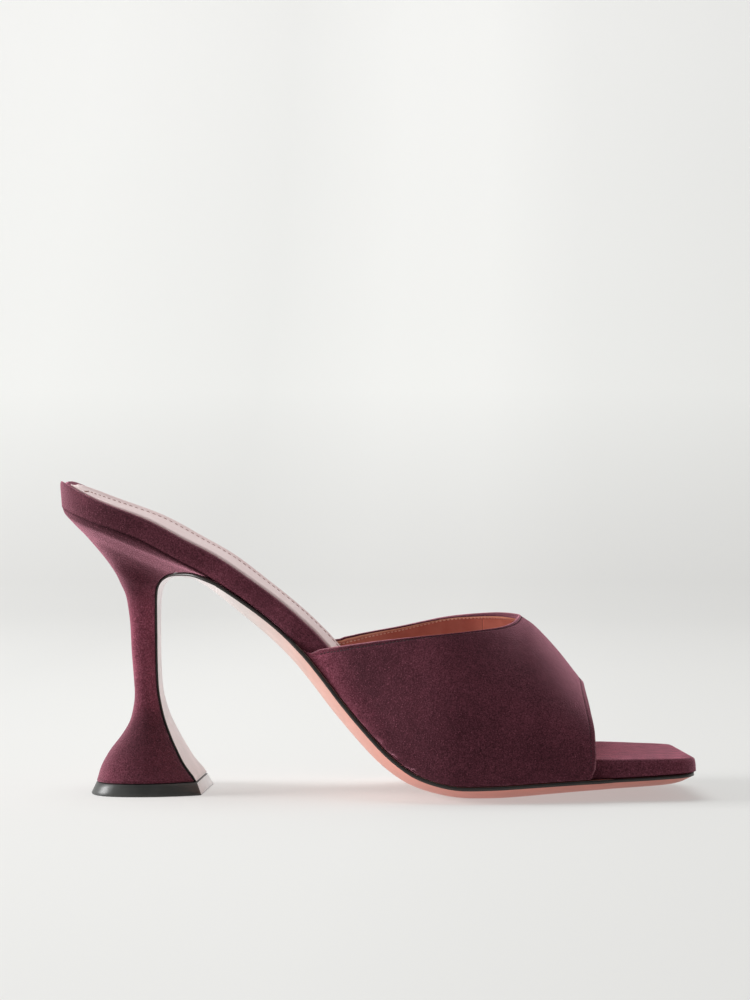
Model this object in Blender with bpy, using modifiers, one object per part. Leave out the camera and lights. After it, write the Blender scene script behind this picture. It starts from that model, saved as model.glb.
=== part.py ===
# A square-toed suede mule on a tall flared heel, for the right foot, in the pieces a shoemaker assembles.
# Metres. +X runs to the toe, +Y to the inner (medial) side and +Z up, with the floor at Z = 0.
import bisect
import math

import bmesh
import bpy
from mathutils import Vector

# Driving sizes of the last
SOLE_LENGTH = 0.2072
HEEL_HEIGHT = 0.0944
TOE_SPRING = 0.0040
SEAT_WIDTH = 0.052
WAIST_WIDTH = 0.045
BALL_WIDTH = 0.078
TOE_WIDTH = 0.052
SEAT_ROUND = 0.026
SEAT_START = 0.0010
BACK_LEAN = 0.50
TOE_CORNER = 0.008
TOE_SLANT_DEGREES = 7.0
VAMP_RISE = 0.0131
TOE_OPENING_HEIGHT = 0.0373
RIDGE_SHIFT = 0.003
BALL_BULGE = 0.0012

# Thicknesses of the materials
SOLE_EDGE = 0.0012
SOLE_CROWN = 0.0038
BREAST_EDGE = 0.0007
BOARD_SIDE = 0.0074
BOARD_CROWN = 0.0030
BOARD_ROUNDING = 0.0014
END_ROUNDING = 0.0020
SEAT_ROUNDING = 0.0026
FOOTBED_CUP = 0.0016
INNER_DROP = 0.0020
SOCK_THICKNESS = 0.0007
VAMP_WALL = 0.0018
LIFT_THICKNESS = 0.0040

# Heel block
HEEL_BASE_WIDTH = 0.0470
HEEL_SHAFT_WIDTH = 0.0132
LIFT_FLARE = 0.0019

# Clearances and small steps between pieces
GAP = 0.0003
BOARD_RECESS = 0.0013
RECESS_RAMP = 0.004
SOLE_INSET = 0.0006
SOLE_UNDER_VAMP = 0.0008
LIP_DEPTH = 0.0010
SOCK_INSET = 0.0016
SOCK_BACK_INSET = 0.0030

SOLE_DEPTH = SOLE_EDGE + SOLE_CROWN
HEEL_RISE = HEEL_HEIGHT - SOLE_DEPTH

# The throat of the vamp sits on the instep, which a taller heel lifts half as much
THROAT_HEIGHT = VAMP_RISE + 0.5 * HEEL_RISE

# Feather line of the last from the side: share of SOLE_LENGTH, share of HEEL_RISE, share of TOE_SPRING
FEATHER = (
    (0.000, 1.0000, 0.00),
    (0.054, 0.9510, 0.00),
    (0.140, 0.8805, 0.00),
    (0.203, 0.8040, 0.00),
    (0.247, 0.7500, 0.00),
    (0.300, 0.6710, 0.00),
    (0.352, 0.5820, 0.00),
    (0.400, 0.4810, 0.00),
    (0.432, 0.3950, 0.00),
    (0.468, 0.2900, 0.00),
    (0.520, 0.1560, 0.00),
    (0.550, 0.0930, 0.00),
    (0.583, 0.0450, 0.00),
    (0.634, 0.0100, 0.045),
    (0.684, 0.0000, 0.20),
    (0.769, 0.0000, 0.41),
    (0.837, 0.0000, 0.57),
    (0.915, 0.0000, 0.76),
    (1.000, 0.0000, 1.00),
)

# Outline of the board from above: share of SOLE_LENGTH, named width, outer half and inner half as its shares
OUTLINE = (
    (0.124, SEAT_WIDTH, 0.500, 0.500),
    (0.198, SEAT_WIDTH, 0.500, 0.488),
    (0.268, WAIST_WIDTH, 0.556, 0.511),
    (0.347, WAIST_WIDTH, 0.544, 0.456),
    (0.406, WAIST_WIDTH, 0.589, 0.478),
    (0.486, BALL_WIDTH, 0.404, 0.340),
    (0.555, BALL_WIDTH, 0.459, 0.423),
    (0.624, BALL_WIDTH, 0.487, 0.481),
    (0.703, BALL_WIDTH, 0.474, 0.513),
    (0.773, BALL_WIDTH, 0.436, 0.513),
    (0.852, BALL_WIDTH, 0.378, 0.472),
    (0.912, TOE_WIDTH, 0.515, 0.650),
    (0.956, TOE_WIDTH, 0.473, 0.588),
    (1.000, TOE_WIDTH, 0.442, 0.548),
)

# Board and sole along the shoe: share of SOLE_LENGTH, then shares of BOARD_SIDE, FOOTBED_CUP,
# BOARD_CROWN and SOLE_CROWN, the power of the sole's crown across, and the share of INNER_DROP
PROFILE = (
    (0.00, 1.18, 0.90, 0.00, 0.50, 2.2, 0.00),
    (0.08, 0.98, 0.98, 0.00, 0.55, 2.2, 0.10),
    (0.15, 0.93, 1.00, 0.00, 0.60, 2.2, 0.20),
    (0.25, 0.93, 0.80, 0.00, 0.85, 2.2, 0.40),
    (0.31, 0.88, 0.65, 0.40, 1.22, 2.2, 0.68),
    (0.38, 0.88, 0.50, 0.70, 1.40, 2.2, 0.90),
    (0.48, 0.88, 0.35, 0.70, 1.50, 2.3, 0.85),
    (0.55, 0.87, 0.20, 0.55, 1.50, 2.6, 0.30),
    (0.62, 0.87, 0.10, 0.33, 1.32, 2.8, 0.00),
    (0.72, 0.86, 0.00, 0.20, 1.30, 3.2, 0.00),
    (0.85, 0.82, 0.00, 0.20, 1.02, 3.5, 0.00),
    (1.00, 0.62, 0.00, 0.20, 0.80, 4.0, 0.00),
)

# Breast and heel, from the lip down to the lift. Front: share of SOLE_LENGTH and of HEEL_HEIGHT for the
# sheet's inner face. Back: the same for the heel's back. Then the half width of the front edge and the
# widest half width as shares of the named width, and the sheet's crown as a share of SOLE_CROWN.
HEEL_ROWS = (
    (0.2477, 0.7560, 0.0106, 0.9760, 0.462, 0.485, SEAT_WIDTH, 0.75),
    (0.2254, 0.7650, 0.0193, 0.9600, 0.415, 0.445, SEAT_WIDTH, 0.45),
    (0.2021, 0.7650, 0.0321, 0.9280, 0.340, 0.392, SEAT_WIDTH, 0.25),
    (0.1806, 0.7570, 0.0476, 0.8920, 0.250, 0.330, SEAT_WIDTH, 0.12),
    (0.1665, 0.7380, 0.0756, 0.8170, 0.180, 0.265, SEAT_WIDTH, 0.06),
    (0.1593, 0.7150, 0.0921, 0.7640, 0.140, 0.236, SEAT_WIDTH, 0.04),
    (0.1564, 0.6880, 0.1001, 0.7250, 0.450, 0.770, HEEL_SHAFT_WIDTH, 0.02),
    (0.1555, 0.6520, 0.1075, 0.6850, 0.395, 0.650, HEEL_SHAFT_WIDTH, 0.02),
    (0.1553, 0.6120, 0.1113, 0.6370, 0.360, 0.560, HEEL_SHAFT_WIDTH, 0.02),
    (0.1554, 0.5560, 0.1142, 0.5770, 0.345, 0.510, HEEL_SHAFT_WIDTH, 0.02),
    (0.1557, 0.4800, 0.1162, 0.4900, 0.345, 0.500, HEEL_SHAFT_WIDTH, 0.02),
    (0.1566, 0.4100, 0.1191, 0.4120, 0.355, 0.515, HEEL_SHAFT_WIDTH, 0.02),
    (0.1589, 0.3480, 0.1217, 0.3400, 0.385, 0.590, HEEL_SHAFT_WIDTH, 0.02),
    (0.1640, 0.2940, 0.1196, 0.2900, 0.130, 0.190, HEEL_BASE_WIDTH, 0.02),
    (0.1710, 0.2450, 0.1144, 0.2420, 0.165, 0.250, HEEL_BASE_WIDTH, 0.02),
    (0.1807, 0.1960, 0.1019, 0.1950, 0.205, 0.320, HEEL_BASE_WIDTH, 0.02),
    (0.1917, 0.1480, 0.0859, 0.1480, 0.240, 0.390, HEEL_BASE_WIDTH, 0.02),
    (0.2054, 0.0960, 0.0730, 0.0960, 0.275, 0.450, HEEL_BASE_WIDTH, 0.02),
    (0.2243, 0.0455, 0.0663, 0.0455, 0.308, 0.500, HEEL_BASE_WIDTH, 0.02),
)

# Crest of the last from the side: share of SOLE_LENGTH, share of THROAT_HEIGHT
CREST = (
    (0.396, 2.100),
    (0.594, 1.500),
    (0.684, 1.185),
    (0.734, 1.008),
    (0.758, 0.945),
    (0.793, 0.812),
    (0.830, 0.646),
    (0.872, 0.470),
)

# Collar edge: share of SOLE_LENGTH, then the height on the outer and inner side as shares of THROAT_HEIGHT
COLLAR = (
    (0.398, 0.000, 0.000),
    (0.420, 0.836, 0.839),
    (0.466, 0.863, 0.874),
    (0.540, 0.901, 0.920),
    (0.614, 0.927, 0.972),
    (0.684, 0.950, 1.000),
    (0.709, 0.962, 1.006),
    (0.726, 0.982, 1.006),
    (0.734, 1.008, 1.008),
)

# Edge of the toe opening: share of SOLE_LENGTH, height as a share of TOE_OPENING_HEIGHT
TOE_EDGE = (
    (0.846, 0.000),
    (0.853, 0.290),
    (0.854, 0.410),
    (0.853, 0.530),
    (0.852, 0.620),
    (0.848, 0.725),
    (0.843, 0.830),
    (0.838, 0.940),
    (0.834, 1.000),
)

# How finely the forms are cut
BODY_STEP = 0.0068
SEAT_ANGLES = (5, 17, 31, 46, 61, 76, 90)
CORNER_ANGLES = (0, 25, 48, 70, 90)
ACROSS = (-1.0, -0.93, -0.80, -0.60, -0.30, 0.0, 0.30, 0.60, 0.80, 0.93, 1.0)
HEEL_SHARES = (0.0, 0.12, 0.27, 0.42, 0.57, 0.70, 0.80, 0.88, 0.94, 0.98, 1.0)
SECTION_POWER = 2.4
SEAT_POWER = 2.3


def spline(rows, x, column):
    """Smooth curve through the rows of a table: cubic pieces with the slopes of the neighbouring rows."""
    xs = [row[0] for row in rows]
    if x <= xs[0]:
        return rows[0][column]
    if x >= xs[-1]:
        return rows[-1][column]
    i = bisect.bisect_right(xs, x) - 1

    def slope(k):
        low = max(k - 1, 0)
        high = min(k + 1, len(rows) - 1)
        return (rows[high][column] - rows[low][column]) / (xs[high] - xs[low])

    span = xs[i + 1] - xs[i]
    t = (x - xs[i]) / span
    a = rows[i][column]
    b = rows[i + 1][column]
    ta = slope(i) * span
    tb = slope(i + 1) * span
    return (a * (1 + 2 * t) * (1 - t) ** 2 + ta * t * (1 - t) ** 2
            + b * t * t * (3 - 2 * t) - tb * t * t * (1 - t))


def ease(t):
    """0 to 1 without corners, held flat outside."""
    t = min(max(t, 0.0), 1.0)
    return t * t * (3 - 2 * t)


def feather_height(x):
    share = x / SOLE_LENGTH
    return SOLE_DEPTH + spline(FEATHER, share, 1) * HEEL_RISE + spline(FEATHER, share, 2) * TOE_SPRING


def feather_normal(x):
    """Unit vector square to the feather line, pointing up, as (x, z)."""
    step = SOLE_LENGTH / 400
    low = max(x - step, 0.0)
    high = min(x + step, SOLE_LENGTH)
    rise = feather_height(high) - feather_height(low)
    run = high - low
    size = math.hypot(rise, run)
    return -rise / size, run / size


def profile(x, column):
    return spline(PROFILE, x / SOLE_LENGTH, column)


def toe_slant(x):
    return math.tan(math.radians(TOE_SLANT_DEGREES)) * ease((x / SOLE_LENGTH - 0.80) / 0.16)


def on_sole(x, y, h):
    """A point of the flat pattern, bent along the feather line; the back leans out, the toe's end slants."""
    nx, nz = feather_normal(x)
    lean = BACK_LEAN * max(h, 0.0) * (1 - ease(x / SEAT_ROUND))
    return Vector((x + nx * h - nz * lean - toe_slant(x) * y, y, feather_height(x) + nz * h + nx * lean))


def station_of(x, y, z):
    """The station of the flat pattern that lands on the point (x, y, z) once it is bent."""
    station = x
    for _ in range(5):
        nx, nz = feather_normal(station)
        h = (z - feather_height(station)) * nz + (x - station) * nx
        station = x - nx * h + toe_slant(station) * y
    return station


def half_width(x, side):
    """Half width of the board at x; side is -1 for the outer edge and +1 for the inner one."""
    column = 1 if side < 0 else 2
    rows = [(row[0], row[1] * row[2], row[1] * row[3]) for row in OUTLINE]
    width = spline(rows, max(x / SOLE_LENGTH, rows[0][0]), column)
    if x < SEAT_ROUND:
        reach = min((SEAT_ROUND - x) / (SEAT_ROUND - SEAT_START), 1.0)
        width *= max(1 - reach ** SEAT_POWER, 0.0) ** (1 / SEAT_POWER)
    corner = x - (SOLE_LENGTH - TOE_CORNER)
    if corner > 0:
        width -= TOE_CORNER - math.sqrt(max(TOE_CORNER ** 2 - corner ** 2, 0.0))
    return width


def under_vamp(x):
    """1 where the vamp laps the board's side, 0 where the board shows."""
    start = COLLAR[0][0] * SOLE_LENGTH
    end = TOE_EDGE[1][0] * SOLE_LENGTH
    return ease((x - start) / RECESS_RAMP + 1.2) * ease((end - x) / RECESS_RAMP + 1.2)


def seat_stations():
    """Stations round the back of the seat, for the board's outline and for the sock's, set in from it."""
    span = SEAT_ROUND - SEAT_START
    board = [SEAT_ROUND - span * math.cos(math.radians(a)) ** (2 / SEAT_POWER) for a in SEAT_ANGLES]
    sock = [x + SOCK_BACK_INSET for x in board[:-2]]
    return sorted(board + sock)


def corner_stations():
    """Stations round the toe's corners."""
    return [SOLE_LENGTH - TOE_CORNER + TOE_CORNER * math.sin(math.radians(a)) for a in CORNER_ANGLES]


def body_stations(start, end):
    """Even stations from start to end, with more at the heel's lip and where the board steps in."""
    count = max(int(round((end - start) / BODY_STEP)), 2)
    even = [start + (end - start) * i / count for i in range(count + 1)]
    edges = []
    for edge, way in ((COLLAR[0][0], -1), (TOE_EDGE[1][0], 1)):
        for ramp in (0.2, 0.7, 1.2):
            edges.append(edge * SOLE_LENGTH + way * ramp * RECESS_RAMP)
    edges.append(HEEL_ROWS[0][0] * SOLE_LENGTH)
    kept = [x for x in even if all(abs(x - edge) > 0.18 * BODY_STEP for edge in edges)]
    return sorted(kept + [edge for edge in edges if start < edge < end])


def board_stations():
    """Every station of the board, from the back of the seat to the toe's end."""
    body = body_stations(SEAT_ROUND, SOLE_LENGTH - TOE_CORNER)
    return seat_stations()[:-1] + body[:-1] + corner_stations()


def new_object(name, mesh, colour, roughness):
    """An object with its own Principled material, under the shoe's root."""
    material = bpy.data.materials.new(name + "_material")
    material.use_nodes = True
    shader = material.node_tree.nodes["Principled BSDF"]
    shader.inputs["Base Color"].default_value = (*colour, 1.0)
    shader.inputs["Roughness"].default_value = roughness
    shader.inputs["Metallic"].default_value = 0.0
    material.diffuse_color = (*colour, 1.0)
    mesh.materials.append(material)
    piece = bpy.data.objects.new(name, mesh)
    collection.objects.link(piece)
    piece.parent = root
    return piece


def loft(name, rings, colour, roughness):
    """A closed solid through rings of equal, even count; each end is closed between paired points."""
    bm = bmesh.new()
    rows = [[bm.verts.new(point) for point in ring] for ring in rings]
    count = len(rows[0])
    for low, high in zip(rows, rows[1:]):
        for i in range(count):
            j = (i + 1) % count
            bm.faces.new((low[i], low[j], high[j], high[i]))
    for ring in (rows[0], rows[-1]):
        for i in range(count // 2 - 1):
            bm.faces.new((ring[i], ring[i + 1], ring[count - 2 - i], ring[count - 1 - i]))
    bmesh.ops.recalc_face_normals(bm, faces=bm.faces)
    mesh = bpy.data.meshes.new(name)
    bm.to_mesh(mesh)
    bm.free()
    mesh.shade_smooth()
    mesh.set_sharp_from_angle(angle=math.radians(35))
    return new_object(name, mesh, colour, roughness)


def board_crown(x, y):
    """How far the board's underside bulges below the feather line."""
    reach = half_width(x, 1 if y > 0 else -1)
    share = min(abs(y) / max(reach, GAP), 1.0)
    return profile(x, 3) * BOARD_CROWN * (1 - share ** 2.2)


def footbed(x, y, reach):
    """Height of the footbed above the feather line, cupped across."""
    share = min(abs(y) / max(reach, GAP), 1.0)
    cup = profile(x, 2) * FOOTBED_CUP * min(reach / (0.25 * SEAT_WIDTH), 1.0)
    inner = profile(x, 6) * INNER_DROP if y > 0 else 0.0
    return profile(x, 1) * BOARD_SIDE - cup * (1 - share ** 2) - inner * share ** 2


def end_drop(x):
    """The board's top edge rounds off over its back and over its toe end."""
    from_back = min(max(1 - (x - SEAT_START) / SEAT_ROUNDING, 0.0), 1.0)
    from_toe = min(max(1 - (SOLE_LENGTH - x) / END_ROUNDING, 0.0), 1.0)
    back = SEAT_ROUNDING * (1 - math.sqrt(1 - from_back ** 2))
    return back + 0.8 * END_ROUNDING * (1 - math.sqrt(1 - from_toe ** 2))


def make_midsole():
    """The suede-wrapped board: flat under the heel, domed under the waist, its top edge rounded."""
    rings = []
    for x in board_stations():
        inset = BOARD_RECESS * under_vamp(x)
        left = half_width(x, -1) - inset
        right = half_width(x, 1) - inset
        drop = end_drop(x)
        rounding = min(BOARD_ROUNDING + 0.4 * drop, 0.4 * left)
        top = []
        for side, reach in ((-1, left), (1, right)):
            corner = footbed(x, side * (reach - rounding), reach) - drop
            edge = [
                on_sole(x, side * reach, corner - rounding),
                on_sole(x, side * (reach - 0.29 * rounding), corner - 0.29 * rounding),
                on_sole(x, side * (reach - rounding), corner),
            ]
            shares = (0.60 * side, 0.30 * side)
            inner = [on_sole(x, reach * c, footbed(x, reach * c, reach) - drop) for c in shares]
            top.append(edge + inner)
        middle = on_sole(x, 0.0, footbed(x, 0.0, left) - drop)
        bottom = []
        for c in reversed(ACROSS):
            y = c * (right if c > 0 else left)
            bottom.append(on_sole(x, y, -board_crown(x, y)))
        rings.append(top[0] + [middle] + top[1][::-1] + bottom)
    return loft("midsole", rings, (0.085, 0.020, 0.032), 0.95)


def make_insole():
    """The leather sock on the footbed, from the back of the seat to under the vamp."""
    end = 0.71 * SOLE_LENGTH
    stations = [x for x in board_stations() if SEAT_START + SOCK_BACK_INSET < x < end]
    rings = []
    for x in stations:
        low = []
        high = []
        for c in ACROSS:
            side = 1 if c > 0 else -1
            board = half_width(x, side) - BOARD_RECESS * under_vamp(x)
            outline = half_width(x - SOCK_BACK_INSET, side) - BOARD_RECESS * under_vamp(x)
            reach = max(min(outline, board) - SOCK_INSET, 0.75 * SOCK_INSET)
            y = c * reach
            seat = footbed(x, y, board) + GAP
            rounding = 0.5 * SOCK_THICKNESS if abs(c) == 1.0 else 0.0
            low.append(on_sole(x, y, seat))
            high.append(on_sole(x, y * (1 - rounding / reach), seat + SOCK_THICKNESS - rounding))
        rings.append(high + low[::-1])
    return loft("insole", rings, (0.79, 0.60, 0.60), 0.55)


def breast_rows():
    """HEEL_ROWS in metres: front, back, front half width, widest half width and crown, from lip to lift."""
    rows = []
    for fx, fz, bx, bz, front_half, wide_half, width, crown in HEEL_ROWS:
        front = Vector((fx * SOLE_LENGTH, 0.0, fz * HEEL_HEIGHT))
        back = Vector((bx * SOLE_LENGTH, 0.0, bz * HEEL_HEIGHT))
        rows.append((front, back, front_half * width, wide_half * width, crown * SOLE_CROWN))
    front, back, front_half, wide_half, crown = rows[0]
    front.z = feather_height(front.x) - LIP_DEPTH
    lift_top = LIFT_THICKNESS + GAP
    front, back, front_half, wide_half, crown = rows[-1]
    rows[-1] = (Vector((front.x, 0, lift_top)), Vector((back.x, 0, lift_top)), front_half, wide_half, crown)
    return rows


def breast_normals(rows):
    """Unit vectors from the sheet's inner face towards the heel, one for each row."""
    normals = []
    for i in range(len(rows)):
        along = rows[min(i + 1, len(rows) - 1)][0] - rows[max(i - 1, 0)][0]
        normals.append(Vector((along.z, 0.0, -along.x)).normalized())
    return normals


def make_outsole():
    """One leather sheet: a crowned tread, a domed waist, a tight curve and the strip down the heel breast."""
    rings = []
    corners = corner_stations()
    lip = HEEL_ROWS[0][0] * SOLE_LENGTH
    stations = [x for x in board_stations() if x > lip + 0.5 * BODY_STEP]
    for x in reversed(stations):
        shown = under_vamp(x)
        grow = SOLE_UNDER_VAMP * shown - SOLE_INSET * (1 - shown)
        power = profile(x, 5)
        from_tip = (SOLE_LENGTH - x) / (2 * TOE_CORNER)
        fade = 1 - max(1 - from_tip, 0.0) ** 4
        pull = SOLE_INSET * ease((x - corners[0]) / TOE_CORNER)
        top = []
        bottom = []
        for c in ACROSS:
            y = c * (half_width(x, 1 if c > 0 else -1) + grow)
            upper = on_sole(x, y, -GAP - board_crown(x, y))
            depth = SOLE_EDGE + profile(x, 4) * SOLE_CROWN * fade * (1 - abs(c) ** power)
            lower = on_sole(x, y, -GAP - depth)
            lower.z = max(lower.z, 0.0)
            upper.x -= pull
            lower.x -= pull
            top.append(upper)
            bottom.append(lower)
        rings.append(top + bottom[::-1])
    rows = breast_rows()
    normals = breast_normals(rows)
    for i, ((front, back, front_half, wide_half, crown), normal) in enumerate(zip(rows, normals)):
        edge = BREAST_EDGE + (SOLE_EDGE - BREAST_EDGE) * max(1 - i / 2.5, 0.0)
        top = [front + Vector((0, c * front_half, 0)) for c in ACROSS]
        bottom = []
        for c in ACROSS:
            depth = edge + crown * (1 - abs(c) ** 2.2)
            point = front - normal * depth + Vector((0, c * front_half, 0))
            if i == len(rows) - 1:
                point.z = front.z
            bottom.append(point)
        rings.append(top + bottom[::-1])
    return loft("outsole", rings, (0.62, 0.22, 0.17), 0.45)


def heel_ring(front, back, front_half, wide_half, seat=False):
    """One ring of the heel from front to back: flat front edge, fullest past the middle, rounded back."""
    widest = 0.58
    flat_back = 0.30 * wide_half
    left = []
    right = []
    for k in HEEL_SHARES:
        if k <= widest:
            half = front_half + (wide_half - front_half) * math.sin(0.5 * math.pi * k / widest) ** 0.8
        else:
            past = (k - widest) / (1 - widest)
            half = flat_back + (wide_half - flat_back) * (1 - past ** 2.6) ** (1 / 2.6)
        point = front.lerp(back, k)
        outer = half
        inner = half
        if seat:
            point.z = feather_height(point.x) - GAP / feather_normal(point.x)[1]
            half = SOLE_LENGTH
        if point.z > 0.85 * HEEL_HEIGHT or seat:
            outer = min(half, half_width(point.x, -1) - 2 * GAP)
            inner = min(half, half_width(point.x, 1) - 2 * GAP)
        left.append(point - Vector((0, outer, 0)))
        right.append(point + Vector((0, inner, 0)))
    return left + right[::-1]


def make_heel():
    """The heel: its seat follows the board, its front the breast sheet, and its base flares to a square."""
    rows = breast_rows()
    normals = breast_normals(rows)
    front = Vector((rows[0][0].x - GAP, 0, 0))
    back = Vector((SEAT_START + 3 * GAP, 0, 0))
    rings = [heel_ring(front, back, rows[0][2], rows[0][3], seat=True)]
    for (front, back, front_half, wide_half, crown), normal in zip(rows, normals):
        ahead = front + normal * GAP
        if front is rows[-1][0]:
            ahead.z = front.z
        rings.append(heel_ring(ahead, back, front_half, max(wide_half, front_half)))
    return loft("heel", rings, (0.085, 0.020, 0.032), 0.95)


def make_top_lift():
    """The rubber lift: it carries on the flare of the heel's base down to the floor."""
    front, back, front_half, wide_half, crown = breast_rows()[-1]
    rings = []
    for share in (0.0, 0.5, 1.0):
        flare = LIFT_FLARE * share
        z = LIFT_THICKNESS * (1 - share)
        low_front = Vector((front.x + BREAST_EDGE + flare, 0, z))
        low_back = Vector((back.x - flare, 0, z))
        rings.append(heel_ring(low_front, low_back, front_half + 1.5 * flare, wide_half + 0.3 * flare))
    return loft("top_lift", rings, (0.035, 0.036, 0.034), 0.5)


def wall_foot(x):
    """Height at which the last's side starts to lean in, level with the footbed."""
    return feather_height(x) + profile(x, 1) * BOARD_SIDE / feather_normal(x)[1]


def crest_height(x):
    return spline(CREST, x / SOLE_LENGTH, 1) * THROAT_HEIGHT


def lean_angle(x, z):
    """The angle on the last's section at x that reaches the height z: 0 at the footbed, 90 degrees at the crest."""
    foot = wall_foot(x)
    share = (z - foot) / (crest_height(x) - foot)
    if share <= 0:
        return share
    return math.asin(min(share, 1.0) ** (SECTION_POWER / 2))


def on_last(x, angle, side):
    """A point of the vamp's outer face; negative angles run down the board's side to the feather line."""
    foot = wall_foot(x)
    depth = foot - feather_height(x)
    share = min(max(-angle, 0.0) * (crest_height(x) - foot) / depth, 1.0)
    level = foot - share * depth
    station = station_of(x, side * half_width(x, side), level)
    reach = half_width(station, side) - BOARD_RECESS + 2 * GAP + VAMP_WALL
    if angle <= 0:
        return Vector((x, side * reach, level))
    rise = math.sin(angle) ** (2 / SECTION_POWER)
    bulge = BALL_BULGE * math.sin(math.pi * min(angle / 1.2, 1.0))
    ridge = RIDGE_SHIFT * ease(rise)
    y = side * (reach + bulge) * math.cos(angle) + ridge
    return Vector((x, y, foot + rise * (crest_height(x) - foot)))


def edge_line(rows, side, column, height):
    """An edge of the vamp as (x, angle) pairs, from the feather line to the crest, evenly along the surface."""
    numbered = [(n, *row) for n, row in enumerate(rows)]
    fine = []
    steps = 60
    for k in range(steps + 1):
        t = k / steps * (len(rows) - 1)
        if t < 1:
            x = (rows[0][0] + (rows[1][0] - rows[0][0]) * t) * SOLE_LENGTH
            z = feather_height(x) * (1 - t) + rows[1][column] * height * t
        else:
            x = spline(numbered[1:], t, 1) * SOLE_LENGTH
            z = spline(numbered[1:], t, 1 + column) * height
        if k == steps:
            z = crest_height(x)
        fine.append((x, lean_angle(x, z)))
    points = [on_last(x, angle, side) for x, angle in fine]
    lengths = [0.0]
    for a, b in zip(points, points[1:]):
        lengths.append(lengths[-1] + (b - a).length)
    return fine, [length / lengths[-1] for length in lengths]


def read_line(line, share):
    fine, shares = line
    i = min(max(bisect.bisect_right(shares, share) - 1, 0), len(shares) - 2)
    t = (share - shares[i]) / (shares[i + 1] - shares[i])
    return tuple(a + (b - a) * t for a, b in zip(fine[i], fine[i + 1]))


VAMP_AROUND = 14
VAMP_ALONG = 16


def make_upper():
    """The vamp band: an open sheet over the last, from the outer feather line across the crest, given its wall."""
    bm = bmesh.new()
    columns = []
    for side in (-1, 1):
        collar = edge_line(COLLAR, side, 1 if side < 0 else 2, THROAT_HEIGHT)
        toe = edge_line(TOE_EDGE, side, 1, TOE_OPENING_HEIGHT)
        half = []
        for k in range(VAMP_AROUND + 1):
            share = k / VAMP_AROUND
            cx, ca = read_line(collar, share)
            tx, ta = read_line(toe, share)
            column = []
            for j in range(VAMP_ALONG + 1):
                t = j / VAMP_ALONG
                x = cx + (tx - cx) * t
                if share == 0:
                    point = on_last(x, -math.pi, side)
                elif share == 1:
                    point = on_last(x, math.pi / 2, side)
                else:
                    point = on_last(x, ca + (ta - ca) * t, side)
                column.append(point)
            half.append(column)
        columns += half if side < 0 else half[-2::-1]
    grid = [[bm.verts.new(point) for point in column] for column in columns]
    for a, b in zip(grid, grid[1:]):
        for j in range(VAMP_ALONG):
            bm.faces.new((a[j], a[j + 1], b[j + 1], b[j]))
    bmesh.ops.recalc_face_normals(bm, faces=bm.faces)
    crest = max(bm.faces, key=lambda face: face.calc_center_median().z)
    if crest.normal.z < 0:
        bmesh.ops.reverse_faces(bm, faces=bm.faces)
    mesh = bpy.data.meshes.new("upper")
    bm.to_mesh(mesh)
    bm.free()
    mesh.shade_smooth()
    piece = new_object("upper", mesh, (0.085, 0.020, 0.032), 0.95)
    wall = piece.modifiers.new("wall", "SOLIDIFY")
    wall.thickness = VAMP_WALL
    wall.offset = -1.0
    wall.use_even_offset = True
    return piece


def stand_on_origin(pieces):
    """Sets the root so that the floor's middle under the shoe is the world's origin."""
    bpy.context.view_layer.update()
    depsgraph = bpy.context.evaluated_depsgraph_get()
    corners = []
    for piece in pieces:
        seen = piece.evaluated_get(depsgraph)
        corners += [seen.matrix_world @ Vector(corner) for corner in seen.bound_box]
    low = [min(corner[i] for corner in corners) for i in range(3)]
    high = [max(corner[i] for corner in corners) for i in range(3)]
    root.location = (-(low[0] + high[0]) / 2, -(low[1] + high[1]) / 2, -low[2])
    bpy.context.view_layer.update()


for old in list(bpy.data.objects):
    bpy.data.objects.remove(old)
collection = bpy.data.collections.new("heeled_mule")
bpy.context.scene.collection.children.link(collection)
root = bpy.data.objects.new("mule_root", None)
collection.objects.link(root)

stand_on_origin([
    make_outsole(),
    make_midsole(),
    make_insole(),
    make_upper(),
    make_heel(),
    make_top_lift(),
])
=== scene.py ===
# The looks of the square-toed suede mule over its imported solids: suede, leather, paint, stitches and light.
# The form functions and tables are those of the part's source, cut more finely.
import bisect
import math

import bmesh
import bpy
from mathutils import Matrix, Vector


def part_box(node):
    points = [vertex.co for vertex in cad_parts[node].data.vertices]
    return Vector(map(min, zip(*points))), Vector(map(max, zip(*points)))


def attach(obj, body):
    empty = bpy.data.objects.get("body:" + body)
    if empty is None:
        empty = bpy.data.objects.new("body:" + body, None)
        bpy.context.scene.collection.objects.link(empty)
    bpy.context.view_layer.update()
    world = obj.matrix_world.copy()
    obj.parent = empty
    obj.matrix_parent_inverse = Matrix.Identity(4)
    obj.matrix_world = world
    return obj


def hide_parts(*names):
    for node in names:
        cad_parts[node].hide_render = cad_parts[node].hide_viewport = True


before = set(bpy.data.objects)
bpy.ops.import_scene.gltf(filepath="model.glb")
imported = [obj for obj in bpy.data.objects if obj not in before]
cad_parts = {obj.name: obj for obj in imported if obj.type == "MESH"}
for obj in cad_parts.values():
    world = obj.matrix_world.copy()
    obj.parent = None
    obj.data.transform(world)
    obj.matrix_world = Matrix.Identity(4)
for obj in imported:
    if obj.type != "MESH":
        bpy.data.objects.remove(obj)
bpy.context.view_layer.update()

# Driving sizes of the last
SOLE_LENGTH = 0.2072
HEEL_HEIGHT = 0.0944
TOE_SPRING = 0.0040
SEAT_WIDTH = 0.052
WAIST_WIDTH = 0.045
BALL_WIDTH = 0.078
TOE_WIDTH = 0.052
SEAT_ROUND = 0.026
SEAT_START = 0.0010
BACK_LEAN = 0.50
TOE_CORNER = 0.008
TOE_SLANT_DEGREES = 7.0
VAMP_RISE = 0.0131
TOE_OPENING_HEIGHT = 0.0373
RIDGE_SHIFT = 0.003
BALL_BULGE = 0.0012

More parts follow.
